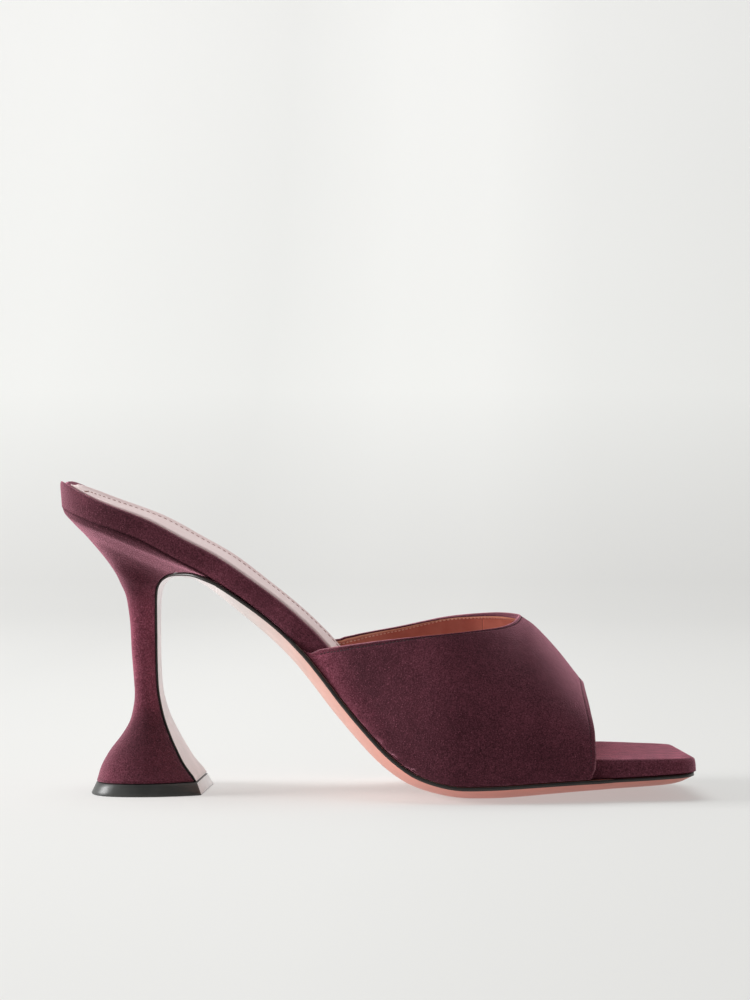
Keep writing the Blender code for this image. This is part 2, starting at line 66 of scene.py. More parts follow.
# Thicknesses of the materials
SOLE_EDGE = 0.0012
SOLE_CROWN = 0.0038
BREAST_EDGE = 0.0007
BOARD_SIDE = 0.0074
BOARD_CROWN = 0.0030
BOARD_ROUNDING = 0.0014
END_ROUNDING = 0.0020
SEAT_ROUNDING = 0.0026
FOOTBED_CUP = 0.0016
INNER_DROP = 0.0020
SOCK_THICKNESS = 0.0007
VAMP_WALL = 0.0018
LIFT_THICKNESS = 0.0040

# Heel block
HEEL_BASE_WIDTH = 0.0470
HEEL_SHAFT_WIDTH = 0.0132
LIFT_FLARE = 0.0019

# Clearances and small steps between pieces
GAP = 0.0003
BOARD_RECESS = 0.0013
RECESS_RAMP = 0.004
SOLE_INSET = 0.0006
SOLE_UNDER_VAMP = 0.0008
LIP_DEPTH = 0.0010
SOCK_INSET = 0.0016
SOCK_BACK_INSET = 0.0030

SOLE_DEPTH = SOLE_EDGE + SOLE_CROWN
HEEL_RISE = HEEL_HEIGHT - SOLE_DEPTH

# The throat of the vamp sits on the instep, which a taller heel lifts half as much
THROAT_HEIGHT = VAMP_RISE + 0.5 * HEEL_RISE

# Feather line of the last from the side: share of SOLE_LENGTH, share of HEEL_RISE, share of TOE_SPRING
FEATHER = (
    (0.000, 1.0000, 0.00),
    (0.054, 0.9510, 0.00),
    (0.140, 0.8805, 0.00),
    (0.203, 0.8040, 0.00),
    (0.247, 0.7500, 0.00),
    (0.300, 0.6710, 0.00),
    (0.352, 0.5820, 0.00),
    (0.400, 0.4810, 0.00),
    (0.432, 0.3950, 0.00),
    (0.468, 0.2900, 0.00),
    (0.520, 0.1560, 0.00),
    (0.550, 0.0930, 0.00),
    (0.583, 0.0450, 0.00),
    (0.634, 0.0100, 0.045),
    (0.684, 0.0000, 0.20),
    (0.769, 0.0000, 0.41),
    (0.837, 0.0000, 0.57),
    (0.915, 0.0000, 0.76),
    (1.000, 0.0000, 1.00),
)

# Outline of the board from above: share of SOLE_LENGTH, named width, outer half and inner half as its shares
OUTLINE = (
    (0.124, SEAT_WIDTH, 0.500, 0.500),
    (0.198, SEAT_WIDTH, 0.500, 0.488),
    (0.268, WAIST_WIDTH, 0.556, 0.511),
    (0.347, WAIST_WIDTH, 0.544, 0.456),
    (0.406, WAIST_WIDTH, 0.589, 0.478),
    (0.486, BALL_WIDTH, 0.404, 0.340),
    (0.555, BALL_WIDTH, 0.459, 0.423),
    (0.624, BALL_WIDTH, 0.487, 0.481),
    (0.703, BALL_WIDTH, 0.474, 0.513),
    (0.773, BALL_WIDTH, 0.436, 0.513),
    (0.852, BALL_WIDTH, 0.378, 0.472),
    (0.912, TOE_WIDTH, 0.515, 0.650),
    (0.956, TOE_WIDTH, 0.473, 0.588),
    (1.000, TOE_WIDTH, 0.442, 0.548),
)

# Board and sole along the shoe: share of SOLE_LENGTH, then shares of BOARD_SIDE, FOOTBED_CUP,
# BOARD_CROWN and SOLE_CROWN, the power of the sole's crown across, and the share of INNER_DROP
PROFILE = (
    (0.00, 1.18, 0.90, 0.00, 0.50, 2.2, 0.00),
    (0.08, 0.98, 0.98, 0.00, 0.55, 2.2, 0.10),
    (0.15, 0.93, 1.00, 0.00, 0.60, 2.2, 0.20),
    (0.25, 0.93, 0.80, 0.00, 0.85, 2.2, 0.40),
    (0.31, 0.88, 0.65, 0.40, 1.22, 2.2, 0.68),
    (0.38, 0.88, 0.50, 0.70, 1.40, 2.2, 0.90),
    (0.48, 0.88, 0.35, 0.70, 1.50, 2.3, 0.85),
    (0.55, 0.87, 0.20, 0.55, 1.50, 2.6, 0.30),
    (0.62, 0.87, 0.10, 0.33, 1.32, 2.8, 0.00),
    (0.72, 0.86, 0.00, 0.20, 1.30, 3.2, 0.00),
    (0.85, 0.82, 0.00, 0.20, 1.02, 3.5, 0.00),
    (1.00, 0.62, 0.00, 0.20, 0.80, 4.0, 0.00),
)

# Breast and heel, from the lip down to the lift. Front: share of SOLE_LENGTH and of HEEL_HEIGHT for the
# sheet's inner face. Back: the same for the heel's back. Then the half width of the front edge and the
# widest half width as shares of the named width, and the sheet's crown as a share of SOLE_CROWN.
HEEL_ROWS = (
    (0.2477, 0.7560, 0.0106, 0.9760, 0.462, 0.485, SEAT_WIDTH, 0.75),
    (0.2254, 0.7650, 0.0193, 0.9600, 0.415, 0.445, SEAT_WIDTH, 0.45),
    (0.2021, 0.7650, 0.0321, 0.9280, 0.340, 0.392, SEAT_WIDTH, 0.25),
    (0.1806, 0.7570, 0.0476, 0.8920, 0.250, 0.330, SEAT_WIDTH, 0.12),
    (0.1665, 0.7380, 0.0756, 0.8170, 0.180, 0.265, SEAT_WIDTH, 0.06),
    (0.1593, 0.7150, 0.0921, 0.7640, 0.140, 0.236, SEAT_WIDTH, 0.04),
    (0.1564, 0.6880, 0.1001, 0.7250, 0.450, 0.770, HEEL_SHAFT_WIDTH, 0.02),
    (0.1555, 0.6520, 0.1075, 0.6850, 0.395, 0.650, HEEL_SHAFT_WIDTH, 0.02),
    (0.1553, 0.6120, 0.1113, 0.6370, 0.360, 0.560, HEEL_SHAFT_WIDTH, 0.02),
    (0.1554, 0.5560, 0.1142, 0.5770, 0.345, 0.510, HEEL_SHAFT_WIDTH, 0.02),
    (0.1557, 0.4800, 0.1162, 0.4900, 0.345, 0.500, HEEL_SHAFT_WIDTH, 0.02),
    (0.1566, 0.4100, 0.1191, 0.4120, 0.355, 0.515, HEEL_SHAFT_WIDTH, 0.02),
    (0.1589, 0.3480, 0.1217, 0.3400, 0.385, 0.590, HEEL_SHAFT_WIDTH, 0.02),
    (0.1640, 0.2940, 0.1196, 0.2900, 0.130, 0.190, HEEL_BASE_WIDTH, 0.02),
    (0.1710, 0.2450, 0.1144, 0.2420, 0.165, 0.250, HEEL_BASE_WIDTH, 0.02),
    (0.1807, 0.1960, 0.1019, 0.1950, 0.205, 0.320, HEEL_BASE_WIDTH, 0.02),
    (0.1917, 0.1480, 0.0859, 0.1480, 0.240, 0.390, HEEL_BASE_WIDTH, 0.02),
    (0.2054, 0.0960, 0.0730, 0.0960, 0.275, 0.450, HEEL_BASE_WIDTH, 0.02),
    (0.2243, 0.0455, 0.0663, 0.0455, 0.308, 0.500, HEEL_BASE_WIDTH, 0.02),
)

# Crest of the last from the side: share of SOLE_LENGTH, share of THROAT_HEIGHT
CREST = (
    (0.396, 2.100),
    (0.594, 1.500),
    (0.684, 1.185),
    (0.734, 1.008),
    (0.758, 0.945),
    (0.793, 0.812),
    (0.830, 0.646),
    (0.872, 0.470),
)

# Collar edge: share of SOLE_LENGTH, then the height on the outer and inner side as shares of THROAT_HEIGHT
COLLAR = (
    (0.398, 0.000, 0.000),
    (0.420, 0.836, 0.839),
    (0.466, 0.863, 0.874),
    (0.540, 0.901, 0.920),
    (0.614, 0.927, 0.972),
    (0.684, 0.950, 1.000),
    (0.709, 0.962, 1.006),
    (0.726, 0.982, 1.006),
    (0.734, 1.008, 1.008),
)

# Edge of the toe opening: share of SOLE_LENGTH, height as a share of TOE_OPENING_HEIGHT
TOE_EDGE = (
    (0.846, 0.000),
    (0.853, 0.290),
    (0.854, 0.410),
    (0.853, 0.530),
    (0.852, 0.620),
    (0.848, 0.725),
    (0.843, 0.830),
    (0.838, 0.940),
    (0.834, 1.000),
)

# How finely the visible forms are cut
SECTION_POWER = 2.4
SEAT_POWER = 2.3
ACROSS = [math.sin(math.radians(a)) for a in range(-90, 91, 6)]
FINE_STEP = 0.0022


def spline(rows, x, column):
    """Smooth curve through the rows of a table: cubic pieces with the slopes of the neighbouring rows."""
    xs = [row[0] for row in rows]
    if x <= xs[0]:
        return rows[0][column]
    if x >= xs[-1]:
        return rows[-1][column]
    i = bisect.bisect_right(xs, x) - 1

    def slope(k):
        low = max(k - 1, 0)
        high = min(k + 1, len(rows) - 1)
        return (rows[high][column] - rows[low][column]) / (xs[high] - xs[low])

    span = xs[i + 1] - xs[i]
    t = (x - xs[i]) / span
    a = rows[i][column]
    b = rows[i + 1][column]
    ta = slope(i) * span
    tb = slope(i + 1) * span
    return (a * (1 + 2 * t) * (1 - t) ** 2 + ta * t * (1 - t) ** 2
            + b * t * t * (3 - 2 * t) - tb * t * t * (1 - t))


def ease(t):
    """0 to 1 without corners, held flat outside."""
    t = min(max(t, 0.0), 1.0)
    return t * t * (3 - 2 * t)


def feather_height(x):
    share = x / SOLE_LENGTH
    return SOLE_DEPTH + spline(FEATHER, share, 1) * HEEL_RISE + spline(FEATHER, share, 2) * TOE_SPRING


def feather_normal(x):
    """Unit vector square to the feather line, pointing up, as (x, z)."""
    step = SOLE_LENGTH / 400
    low = max(x - step, 0.0)
    high = min(x + step, SOLE_LENGTH)
    rise = feather_height(high) - feather_height(low)
    run = high - low
    size = math.hypot(rise, run)
    return -rise / size, run / size


def profile(x, column):
    return spline(PROFILE, x / SOLE_LENGTH, column)


def toe_slant(x):
    return math.tan(math.radians(TOE_SLANT_DEGREES)) * ease((x / SOLE_LENGTH - 0.80) / 0.16)


def on_sole(x, y, h):
    """A point of the flat pattern, bent along the feather line; the back leans out, the toe's end slants."""
    nx, nz = feather_normal(x)
    lean = BACK_LEAN * max(h, 0.0) * (1 - ease(x / SEAT_ROUND))
    return Vector((x + nx * h - nz * lean - toe_slant(x) * y, y, feather_height(x) + nz * h + nx * lean))


def station_of(x, y, z):
    """The station of the flat pattern that lands on the point (x, y, z) once it is bent."""
    station = x
    for _ in range(5):
        nx, nz = feather_normal(station)
        h = (z - feather_height(station)) * nz + (x - station) * nx
        station = x - nx * h + toe_slant(station) * y
    return station


def half_width(x, side):
    """Half width of the board at x; side is -1 for the outer edge and +1 for the inner one."""
    column = 1 if side < 0 else 2
    rows = [(row[0], row[1] * row[2], row[1] * row[3]) for row in OUTLINE]
    width = spline(rows, max(x / SOLE_LENGTH, rows[0][0]), column)
    if x < SEAT_ROUND:
        reach = min((SEAT_ROUND - x) / (SEAT_ROUND - SEAT_START), 1.0)
        width *= max(1 - reach ** SEAT_POWER, 0.0) ** (1 / SEAT_POWER)
    corner = x - (SOLE_LENGTH - TOE_CORNER)
    if corner > 0:
        width -= TOE_CORNER - math.sqrt(max(TOE_CORNER ** 2 - corner ** 2, 0.0))
    return width


def under_vamp(x):
    """1 where the vamp laps the board's side, 0 where the board shows."""
    start = COLLAR[0][0] * SOLE_LENGTH
    end = TOE_EDGE[1][0] * SOLE_LENGTH
    return ease((x - start) / RECESS_RAMP + 1.2) * ease((end - x) / RECESS_RAMP + 1.2)


def board_crown(x, y):
    """How far the board's underside bulges below the feather line."""
    reach = half_width(x, 1 if y > 0 else -1)
    share = min(abs(y) / max(reach, GAP), 1.0)
    return profile(x, 3) * BOARD_CROWN * (1 - share ** 2.2)


def footbed(x, y, reach):
    """Height of the footbed above the feather line, cupped across."""
    share = min(abs(y) / max(reach, GAP), 1.0)
    cup = profile(x, 2) * FOOTBED_CUP * min(reach / (0.25 * SEAT_WIDTH), 1.0)
    inner = profile(x, 6) * INNER_DROP if y > 0 else 0.0
    return profile(x, 1) * BOARD_SIDE - cup * (1 - share ** 2) - inner * share ** 2


def end_drop(x):
    """The board's top edge rounds off over its back and over its toe end."""
    from_back = min(max(1 - (x - SEAT_START) / SEAT_ROUNDING, 0.0), 1.0)
    from_toe = min(max(1 - (SOLE_LENGTH - x) / END_ROUNDING, 0.0), 1.0)
    back = SEAT_ROUNDING * (1 - math.sqrt(1 - from_back ** 2))
    return back + 0.8 * END_ROUNDING * (1 - math.sqrt(1 - from_toe ** 2))


def breast_rows():
    """HEEL_ROWS in metres: front, back, front half width, widest half width and crown, from lip to lift."""
    rows = []
    for fx, fz, bx, bz, front_half, wide_half, width, crown in HEEL_ROWS:
        front = Vector((fx * SOLE_LENGTH, 0.0, fz * HEEL_HEIGHT))
        back = Vector((bx * SOLE_LENGTH, 0.0, bz * HEEL_HEIGHT))
        rows.append((front, back, front_half * width, wide_half * width, crown * SOLE_CROWN))
    front, back, front_half, wide_half, crown = rows[0]
    front.z = feather_height(front.x) - LIP_DEPTH
    lift_top = LIFT_THICKNESS + GAP
    front, back, front_half, wide_half, crown = rows[-1]
    rows[-1] = (Vector((front.x, 0, lift_top)), Vector((back.x, 0, lift_top)), front_half, wide_half, crown)
    return rows


def heel_ring(front, back, front_half, wide_half, seat, shares):
    """One ring of the heel from front to back: flat front edge, fullest past the middle, rounded back."""
    widest = 0.58
    flat_back = 0.30 * wide_half
    left = []
    right = []
    for k in shares:
        if k <= widest:
            half = front_half + (wide_half - front_half) * math.sin(0.5 * math.pi * k / widest) ** 0.8
        else:
            past = (k - widest) / (1 - widest)
            half = flat_back + (wide_half - flat_back) * (1 - past ** 2.6) ** (1 / 2.6)
        point = front.lerp(back, k)
        outer = half
        inner = half
        if seat:
            point.z = feather_height(point.x) - GAP / feather_normal(point.x)[1]
            half = SOLE_LENGTH
        if point.z > 0.85 * HEEL_HEIGHT or seat:
            outer = min(half, half_width(point.x, -1) - 2 * GAP)
            inner = min(half, half_width(point.x, 1) - 2 * GAP)
        left.append(point - Vector((0, outer, 0)))
        right.append(point + Vector((0, inner, 0)))
    return left + right[::-1]


def wall_foot(x):
    """Height at which the last's side starts to lean in, level with the footbed."""
    return feather_height(x) + profile(x, 1) * BOARD_SIDE / feather_normal(x)[1]


def crest_height(x):
    return spline(CREST, x / SOLE_LENGTH, 1) * THROAT_HEIGHT


def lean_angle(x, z):
    """The angle on the last's section at x that reaches height z: 0 at the footbed, upright at the crest."""
    foot = wall_foot(x)
    share = (z - foot) / (crest_height(x) - foot)
    if share <= 0:
        return share
    return math.asin(min(share, 1.0) ** (SECTION_POWER / 2))


def on_last(x, angle, side):
    """A point of the vamp's outer face; negative angles run down the board's side to the feather line."""
    foot = wall_foot(x)
    depth = foot - feather_height(x)
    share = min(max(-angle, 0.0) * (crest_height(x) - foot) / depth, 1.0)
    level = foot - share * depth
    station = station_of(x, side * half_width(x, side), level)
    reach = half_width(station, side) - BOARD_RECESS + 2 * GAP + VAMP_WALL
    if angle <= 0:
        return Vector((x, side * reach, level))
    rise = math.sin(angle) ** (2 / SECTION_POWER)
    bulge = BALL_BULGE * math.sin(math.pi * min(angle / 1.2, 1.0))
    ridge = RIDGE_SHIFT * ease(rise)
    y = side * (reach + bulge) * math.cos(angle) + ridge
    return Vector((x, y, foot + rise * (crest_height(x) - foot)))


def lengths_along(points):
    """Each point's distance from the first one along the line."""
    lengths = [0.0]
    for a, b in zip(points, points[1:]):
        lengths.append(lengths[-1] + (b - a).length)
    return lengths


def place_on(lengths, place):
    """Where a distance falls: the stretch between two points, and the share of the way along it."""
    i = min(max(bisect.bisect_right(lengths, place) - 1, 0), len(lengths) - 2)
    return i, min((place - lengths[i]) / max(lengths[i + 1] - lengths[i], 1e-9), 1.0)


def edge_line(rows, side, column, height):
    """An edge of the vamp from the feather line up: (x, angle) pairs and their shares of its length."""
    numbered = [(n, *row) for n, row in enumerate(rows)]
    fine = []
    steps = 60
    for k in range(steps + 1):
        t = k / steps * (len(rows) - 1)
        if t < 1:
            x = (rows[0][0] + (rows[1][0] - rows[0][0]) * t) * SOLE_LENGTH
            z = feather_height(x) * (1 - t) + rows[1][column] * height * t
        else:
            x = spline(numbered[1:], t, 1) * SOLE_LENGTH
            z = spline(numbered[1:], t, 1 + column) * height
        if k == steps:
            z = crest_height(x)
        fine.append((x, lean_angle(x, z)))
    lengths = lengths_along([on_last(x, angle, side) for x, angle in fine])
    return fine, [length / lengths[-1] for length in lengths]


def read_line(line, share):
    fine, shares = line
    i, t = place_on(shares, share)
    return tuple(a + (b - a) * t for a, b in zip(fine[i], fine[i + 1]))


# Place of the last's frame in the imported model's frame, from the top lift's own box
low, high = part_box("top_lift")
LIFT_FRONT = HEEL_ROWS[-1][0] * SOLE_LENGTH + BREAST_EDGE + LIFT_FLARE
ORIGIN = Vector((high[0] - LIFT_FRONT, (low[1] + high[1]) / 2, 0.0))


def board_stations():
    """Every station of the visible board: close together round the seat and the toe's corners."""
    span = SEAT_ROUND - SEAT_START
    angles = (2, 5, 9, 13, 18, 23, 29, 35, 41, 47, 53, 59, 65, 71, 77, 83)
    seat = [SEAT_ROUND - span * math.cos(math.radians(a)) ** (2 / SEAT_POWER) for a in angles]
    start = SOLE_LENGTH - TOE_CORNER
    count = int((start - SEAT_ROUND) / FINE_STEP)
    body = [SEAT_ROUND + (start - SEAT_ROUND) * i / count for i in range(count)]
    corner = [start + TOE_CORNER * math.sin(math.radians(a)) for a in range(0, 91, 9)]
    return seat + body + corner


def finished(bm, name):
    mesh = bpy.data.meshes.new(name)
    bm.to_mesh(mesh)
    bm.free()
    mesh.shade_smooth()
    return mesh


def grid_mesh(name, rows, material_rule=None):
    """A closed mesh through rings of equal count; material_rule gives the material from ring and place."""
    bm = bmesh.new()
    verts = [[bm.verts.new(point + ORIGIN) for point in row] for row in rows]
    count = len(verts[0])
    for i, (a, b) in enumerate(zip(verts, verts[1:])):
        for k in range(count):
            m = (k + 1) % count
            face = bm.faces.new((a[k], a[m], b[m], b[k]))
            if material_rule:
                face.material_index = material_rule(i, k)
    for row in (verts[0], verts[-1]):
        for k in range(count // 2 - 1):
            bm.faces.new((row[k], row[k + 1], row[count - 2 - k], row[count - 1 - k]))
    bmesh.ops.remove_doubles(bm, verts=bm.verts, dist=0.000002)
    bmesh.ops.recalc_face_normals(bm, faces=bm.faces)
    return finished(bm, name)


def add_piece(name, mesh, materials, node=None):
    piece = bpy.data.objects.new(name, mesh)
    bpy.context.scene.collection.objects.link(piece)
    for material in materials:
        mesh.materials.append(material)
    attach(piece, "root")
    if node:
        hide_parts(node)
    return piece


# Materials

def node_material(name, roughness, sheen=0.0, sheen_tint=(1, 1, 1), sheen_roughness=0.4, specular=0.5):
    material = bpy.data.materials.new(name)
    material.use_nodes = True
    shader = material.node_tree.nodes["Principled BSDF"]
    shader.inputs["Roughness"].default_value = roughness
    shader.inputs["Specular IOR Level"].default_value = specular
    shader.inputs["Sheen Weight"].default_value = sheen
    shader.inputs["Sheen Roughness"].default_value = sheen_roughness
    shader.inputs["Sheen Tint"].default_value = (*sheen_tint, 1)
    return material, material.node_tree, shader


def add(tree, kind, **values):
    node = tree.nodes.new(kind)
    for key, value in values.items():
        setattr(node, key, value)
    return node


def noise(tree, coords, scale, detail=3.0, rough=0.6):
    node = add(tree, "ShaderNodeTexNoise")
    node.inputs["Scale"].default_value = scale
    node.inputs["Detail"].default_value = detail
    node.inputs["Roughness"].default_value = rough
    tree.links.new(coords.outputs["Object"], node.inputs["Vector"])
    return node.outputs["Fac"]


def ramp(tree, source, stops):
    """A colour ramp: stops are (place, colour) with linear colours."""
    node = add(tree, "ShaderNodeValToRGB")
    elements = node.color_ramp.elements
    while len(elements) < len(stops):
        elements.new(0.5)
    for element, (place, colour) in zip(elements, stops):
        element.position = place
        element.color = (*colour, 1)
    tree.links.new(source, node.inputs["Fac"])
    return node.outputs["Color"]


def multiply(tree, a, b):
    return mix(tree, "MULTIPLY", 1.0, a, b)


def tone_ramp(tree, source, tones):
    """A ramp of greys: tones are (place, tone), and 1 leaves a colour as it is."""
    return ramp(tree, source, [(place, (tone, tone, tone)) for place, tone in tones])


def reach_along(tree, coords, axis, span):
    """How far a point lies along an axis, as 0 to 1 between the span's ends."""
    place = add(tree, "ShaderNodeVectorMath", operation="DOT_PRODUCT")
    place.inputs[1].default_value = axis
    tree.links.new(coords.outputs["Object"], place.inputs[0])
    reach = add(tree, "ShaderNodeMapRange")
    reach.inputs["From Min"].default_value = span[0]
    reach.inputs["From Max"].default_value = span[1]
    tree.links.new(place.outputs["Value"], reach.inputs["Value"])
    return reach.outputs["Result"]


# Places of the colour sockets on a mix node
FIRST_COLOUR = 6
SECOND_COLOUR = 7
MIXED_COLOUR = 2


def mix(tree, kind, factor, a, b):
    node = add(tree, "ShaderNodeMix", data_type="RGBA", blend_type=kind)
    if isinstance(factor, float):
        node.inputs["Factor"].default_value = factor
    else:
        tree.links.new(factor, node.inputs["Factor"])
    tree.links.new(a, node.inputs[FIRST_COLOUR])
    if isinstance(b, tuple):
        node.inputs[SECOND_COLOUR].default_value = (*b, 1)
    else:
        tree.links.new(b, node.inputs[SECOND_COLOUR])
    return node.outputs[MIXED_COLOUR]


def bump(tree, shader, height, strength, distance):
    node = add(tree, "ShaderNodeBump")
    node.inputs["Strength"].default_value = strength
    node.inputs["Distance"].default_value = distance
    tree.links.new(height, node.inputs["Height"])
    tree.links.new(node.outputs["Normal"], shader.inputs["Normal"])


# Directions that tones follow
ALONG_X = (1.0, 0.0, 0.0)
ALONG_Z = (0.0, 0.0, 1.0)
UP_THE_VAMP = (1.0, 0.0, 0.5)

# Noise scales of the suede, in features to a metre
GRAIN_SCALE = 2300
FIBRE_SCALE = 3600
NAP_SCALE = 420
WORN_SCALE = 240
PATCH_SCALE = 60

SUEDE_SHEEN = (0.95, 0.42, 0.54)

# Painted light and shade by the upward part of a face's normal: faces that look straight up are coloured much
# lighter
PAINTED_LIGHT_BY_SLOPE = ((0.10, 1.0), (0.30, 1.25), (0.60, 0.85), (0.80, 0.95), (1.0, 2.5))


def suede(name, dark, mid, light, sheen=1.0, tones=None, axis=ALONG_Z, span=None):
    """Suede: a fine grain of nap, light fibre ends, broad brushed patches, painted light and shade along one
    axis, and painted light on faces that look up.
    """
    material, tree, shader = node_material(name, 0.95, sheen, SUEDE_SHEEN, 0.42, 0.1)
    coords = add(tree, "ShaderNodeTexCoord")
    grain = noise(tree, coords, GRAIN_SCALE, 2.0, 0.7)
    nap = noise(tree, coords, NAP_SCALE, 3.0, 0.6)
    specks = noise(tree, coords, FIBRE_SCALE, 0.0, 0.5)
    patches = noise(tree, coords, PATCH_SCALE, 5.0, 0.65)
    base = ramp(tree, grain, ((0.34, dark), (0.50, mid), (0.68, light)))
    brushed = ramp(tree, patches, ((0.34, (0.82, 0.79, 0.80)), (0.66, (1.20, 1.20, 1.20))))
    turned = ramp(tree, nap, ((0.34, (0.88, 0.87, 0.87)), (0.66, (1.13, 1.13, 1.13))))
    napped = multiply(tree, base, turned)
    toned = multiply(tree, napped, brushed)
    if tones:
        # Painted light and shade along the axis
        painted_light_along_axis = tone_ramp(tree, reach_along(tree, coords, axis, span), tones)
        toned = multiply(tree, toned, painted_light_along_axis)
    facing = add(tree, "ShaderNodeNewGeometry")
    upward = add(tree, "ShaderNodeSeparateXYZ")
    tree.links.new(facing.outputs["Normal"], upward.inputs["Vector"])
    # Painted light and shade: the colour is toned by how far a face looks up, as light from above falls on it
    painted_light_by_slope = tone_ramp(tree, upward.outputs["Z"], PAINTED_LIGHT_BY_SLOPE)
    toned = multiply(tree, toned, painted_light_by_slope)
    worn = noise(tree, coords, WORN_SCALE, 4.0, 0.7)
    blotches = ramp(tree, worn, ((0.36, (0.55, 0.52, 0.53)), (0.64, (1.6, 1.6, 1.6))))
    level = tone_ramp(tree, upward.outputs["Z"], ((0.90, 0.0), (0.99, 1.0)))
    toned = mix(tree, "MULTIPLY", level, toned, blotches)
    fibres = tone_ramp(tree, specks, ((0.72, 0.0), (0.80, 1.0)))
    flecked = mix(tree, "MIX", fibres, toned, tuple(c * 1.7 for c in light))
    tree.links.new(flecked, shader.inputs["Base Color"])
    bump(tree, shader, grain, 0.6, 0.0004)
    return material


MOTTLE_SCALE = 120
SEAM_REACH = 0.001


def leather(name, dark, light, roughness, grain_scale, depth, seam=None):
    """Smooth leather: a cellular grain with faint mottling, and a seam across it at a set x."""
    material, tree, shader = node_material(name, roughness)
    coords = add(tree, "ShaderNodeTexCoord")
    mottle = noise(tree, coords, MOTTLE_SCALE, 4.0, 0.6)
    cells = add(tree, "ShaderNodeTexVoronoi")
    cells.inputs["Scale"].default_value = grain_scale
    tree.links.new(coords.outputs["Object"], cells.inputs["Vector"])
    colour = ramp(tree, mottle, ((0.35, dark), (0.65, light)))
    if seam:
        reach = reach_along(tree, coords, ALONG_X, (seam - SEAM_REACH, seam + SEAM_REACH))
        line = ramp(tree, reach, (
            (0.3, (1.0, 1.0, 1.0)),
            (0.42, (0.6, 0.55, 0.55)),
            (0.5, (1.0, 1.0, 1.0)),
            (0.6, (1.2, 1.2, 1.2)),
            (0.75, (1.0, 1.0, 1.0)),
        ))
        colour = multiply(tree, colour, line)
    tree.links.new(colour, shader.inputs["Base Color"])
    bump(tree, shader, cells.outputs["Distance"], 0.35, depth)
    return material


# The suede's colours, and painted light and shade along each piece as (share of the span, tone)
SUEDE = ((0.046, 0.011, 0.017), (0.088, 0.021, 0.033), (0.150, 0.046, 0.066))
VAMP_SPAN = (ORIGIN.x + 0.104, ORIGIN.x + 0.196)
# Painted light and shade on the vamp: much lighter at its back edge, where light from the left falls, darker
# over the middle
VAMP_PAINTED_LIGHT = (
    (0.02, 2.9), (0.075, 2.3), (0.14, 1.15), (0.20, 0.68),
    (0.34, 0.76), (0.50, 0.83), (0.83, 0.93), (1.0, 1.1),
)
BOARD_SPAN = (ORIGIN.x, ORIGIN.x + SOLE_LENGTH)
# Painted light and shade on the board: darker round the seat, lighter at the toe end's top, where light falls
BOARD_PAINTED_LIGHT = ((0.0, 0.66), (0.12, 0.90), (0.26, 1.25), (0.50, 1.0), (0.75, 0.98), (0.92, 1.05), (1.0, 1.45))
HEEL_SPAN = (0.0, 0.093)
# Painted light and shade on the heel: much lighter down the shaft, darker up under the seat
HEEL_PAINTED_LIGHT = (
    (0.0, 1.10), (0.14, 1.02), (0.24, 1.0), (0.42, 2.1),
    (0.60, 2.2), (0.74, 0.80), (0.90, 0.56), (1.0, 0.56),
)
vamp_suede = suede("vamp_suede", *SUEDE, 1.0, VAMP_PAINTED_LIGHT, UP_THE_VAMP, VAMP_SPAN)
board_suede = suede("board_suede", *SUEDE, 1.0, BOARD_PAINTED_LIGHT, ALONG_X, BOARD_SPAN)
heel_suede = suede("heel_suede", *SUEDE, 1.0, HEEL_PAINTED_LIGHT, ALONG_Z, HEEL_SPAN)
# The vamp's folded edges: a lighter copy of the suede, a painted highlight along the lit rim
fold_suede_painted_highlight = suede("fold_suede_painted_highlight", (0.13, 0.045, 0.057), (0.19, 0.072, 0.090), (0.27, 0.115, 0.140), 0.6)

# Leathers, paints and threads: darker and lighter colour, roughness, cells in a metre, depth of the grain
LINING_SEAM = ORIGIN.x + 0.1395
sock_leather = leather("sock_leather", (0.96, 0.74, 0.735), (1.0, 0.80, 0.79), 0.50, 1500, 0.00008)
lining_leather = leather(
    "lining_leather", (0.56, 0.165, 0.115), (0.66, 0.23, 0.165), 0.5, 1400, 0.0001, LINING_SEAM)
lining_edge = leather("lining_edge", (0.80, 0.36, 0.22), (0.90, 0.46, 0.30), 0.6, 1400, 0.00005)
edge_paint = leather("edge_paint", (0.014, 0.011, 0.010), (0.026, 0.022, 0.018), 0.38, 900, 0.00004)
# The lift's front face: a pale painted reflection on the black rubber
lift_painted_reflection = leather("lift_painted_reflection", (0.84, 0.88, 0.90), (0.90, 0.94, 0.96), 0.35, 900, 0.00003)
lift_rubber = leather("lift_rubber", (0.032, 0.034, 0.032), (0.050, 0.052, 0.050), 0.42, 700, 0.00006)
thread_dark = leather("thread_dark", (0.020, 0.006, 0.009), (0.040, 0.012, 0.018), 0.7, 3000, 0.00003)
thread_pale = leather("thread_pale", (0.85, 0.50, 0.36), (0.95, 0.62, 0.48), 0.6, 3000, 0.00003)
thread_sock = leather("thread_sock", (0.40, 0.20, 0.175), (0.50, 0.28, 0.25), 0.6, 3000, 0.00003)


SOLE_SPAN = (ORIGIN.x + 0.030, ORIGIN.x + 0.200)


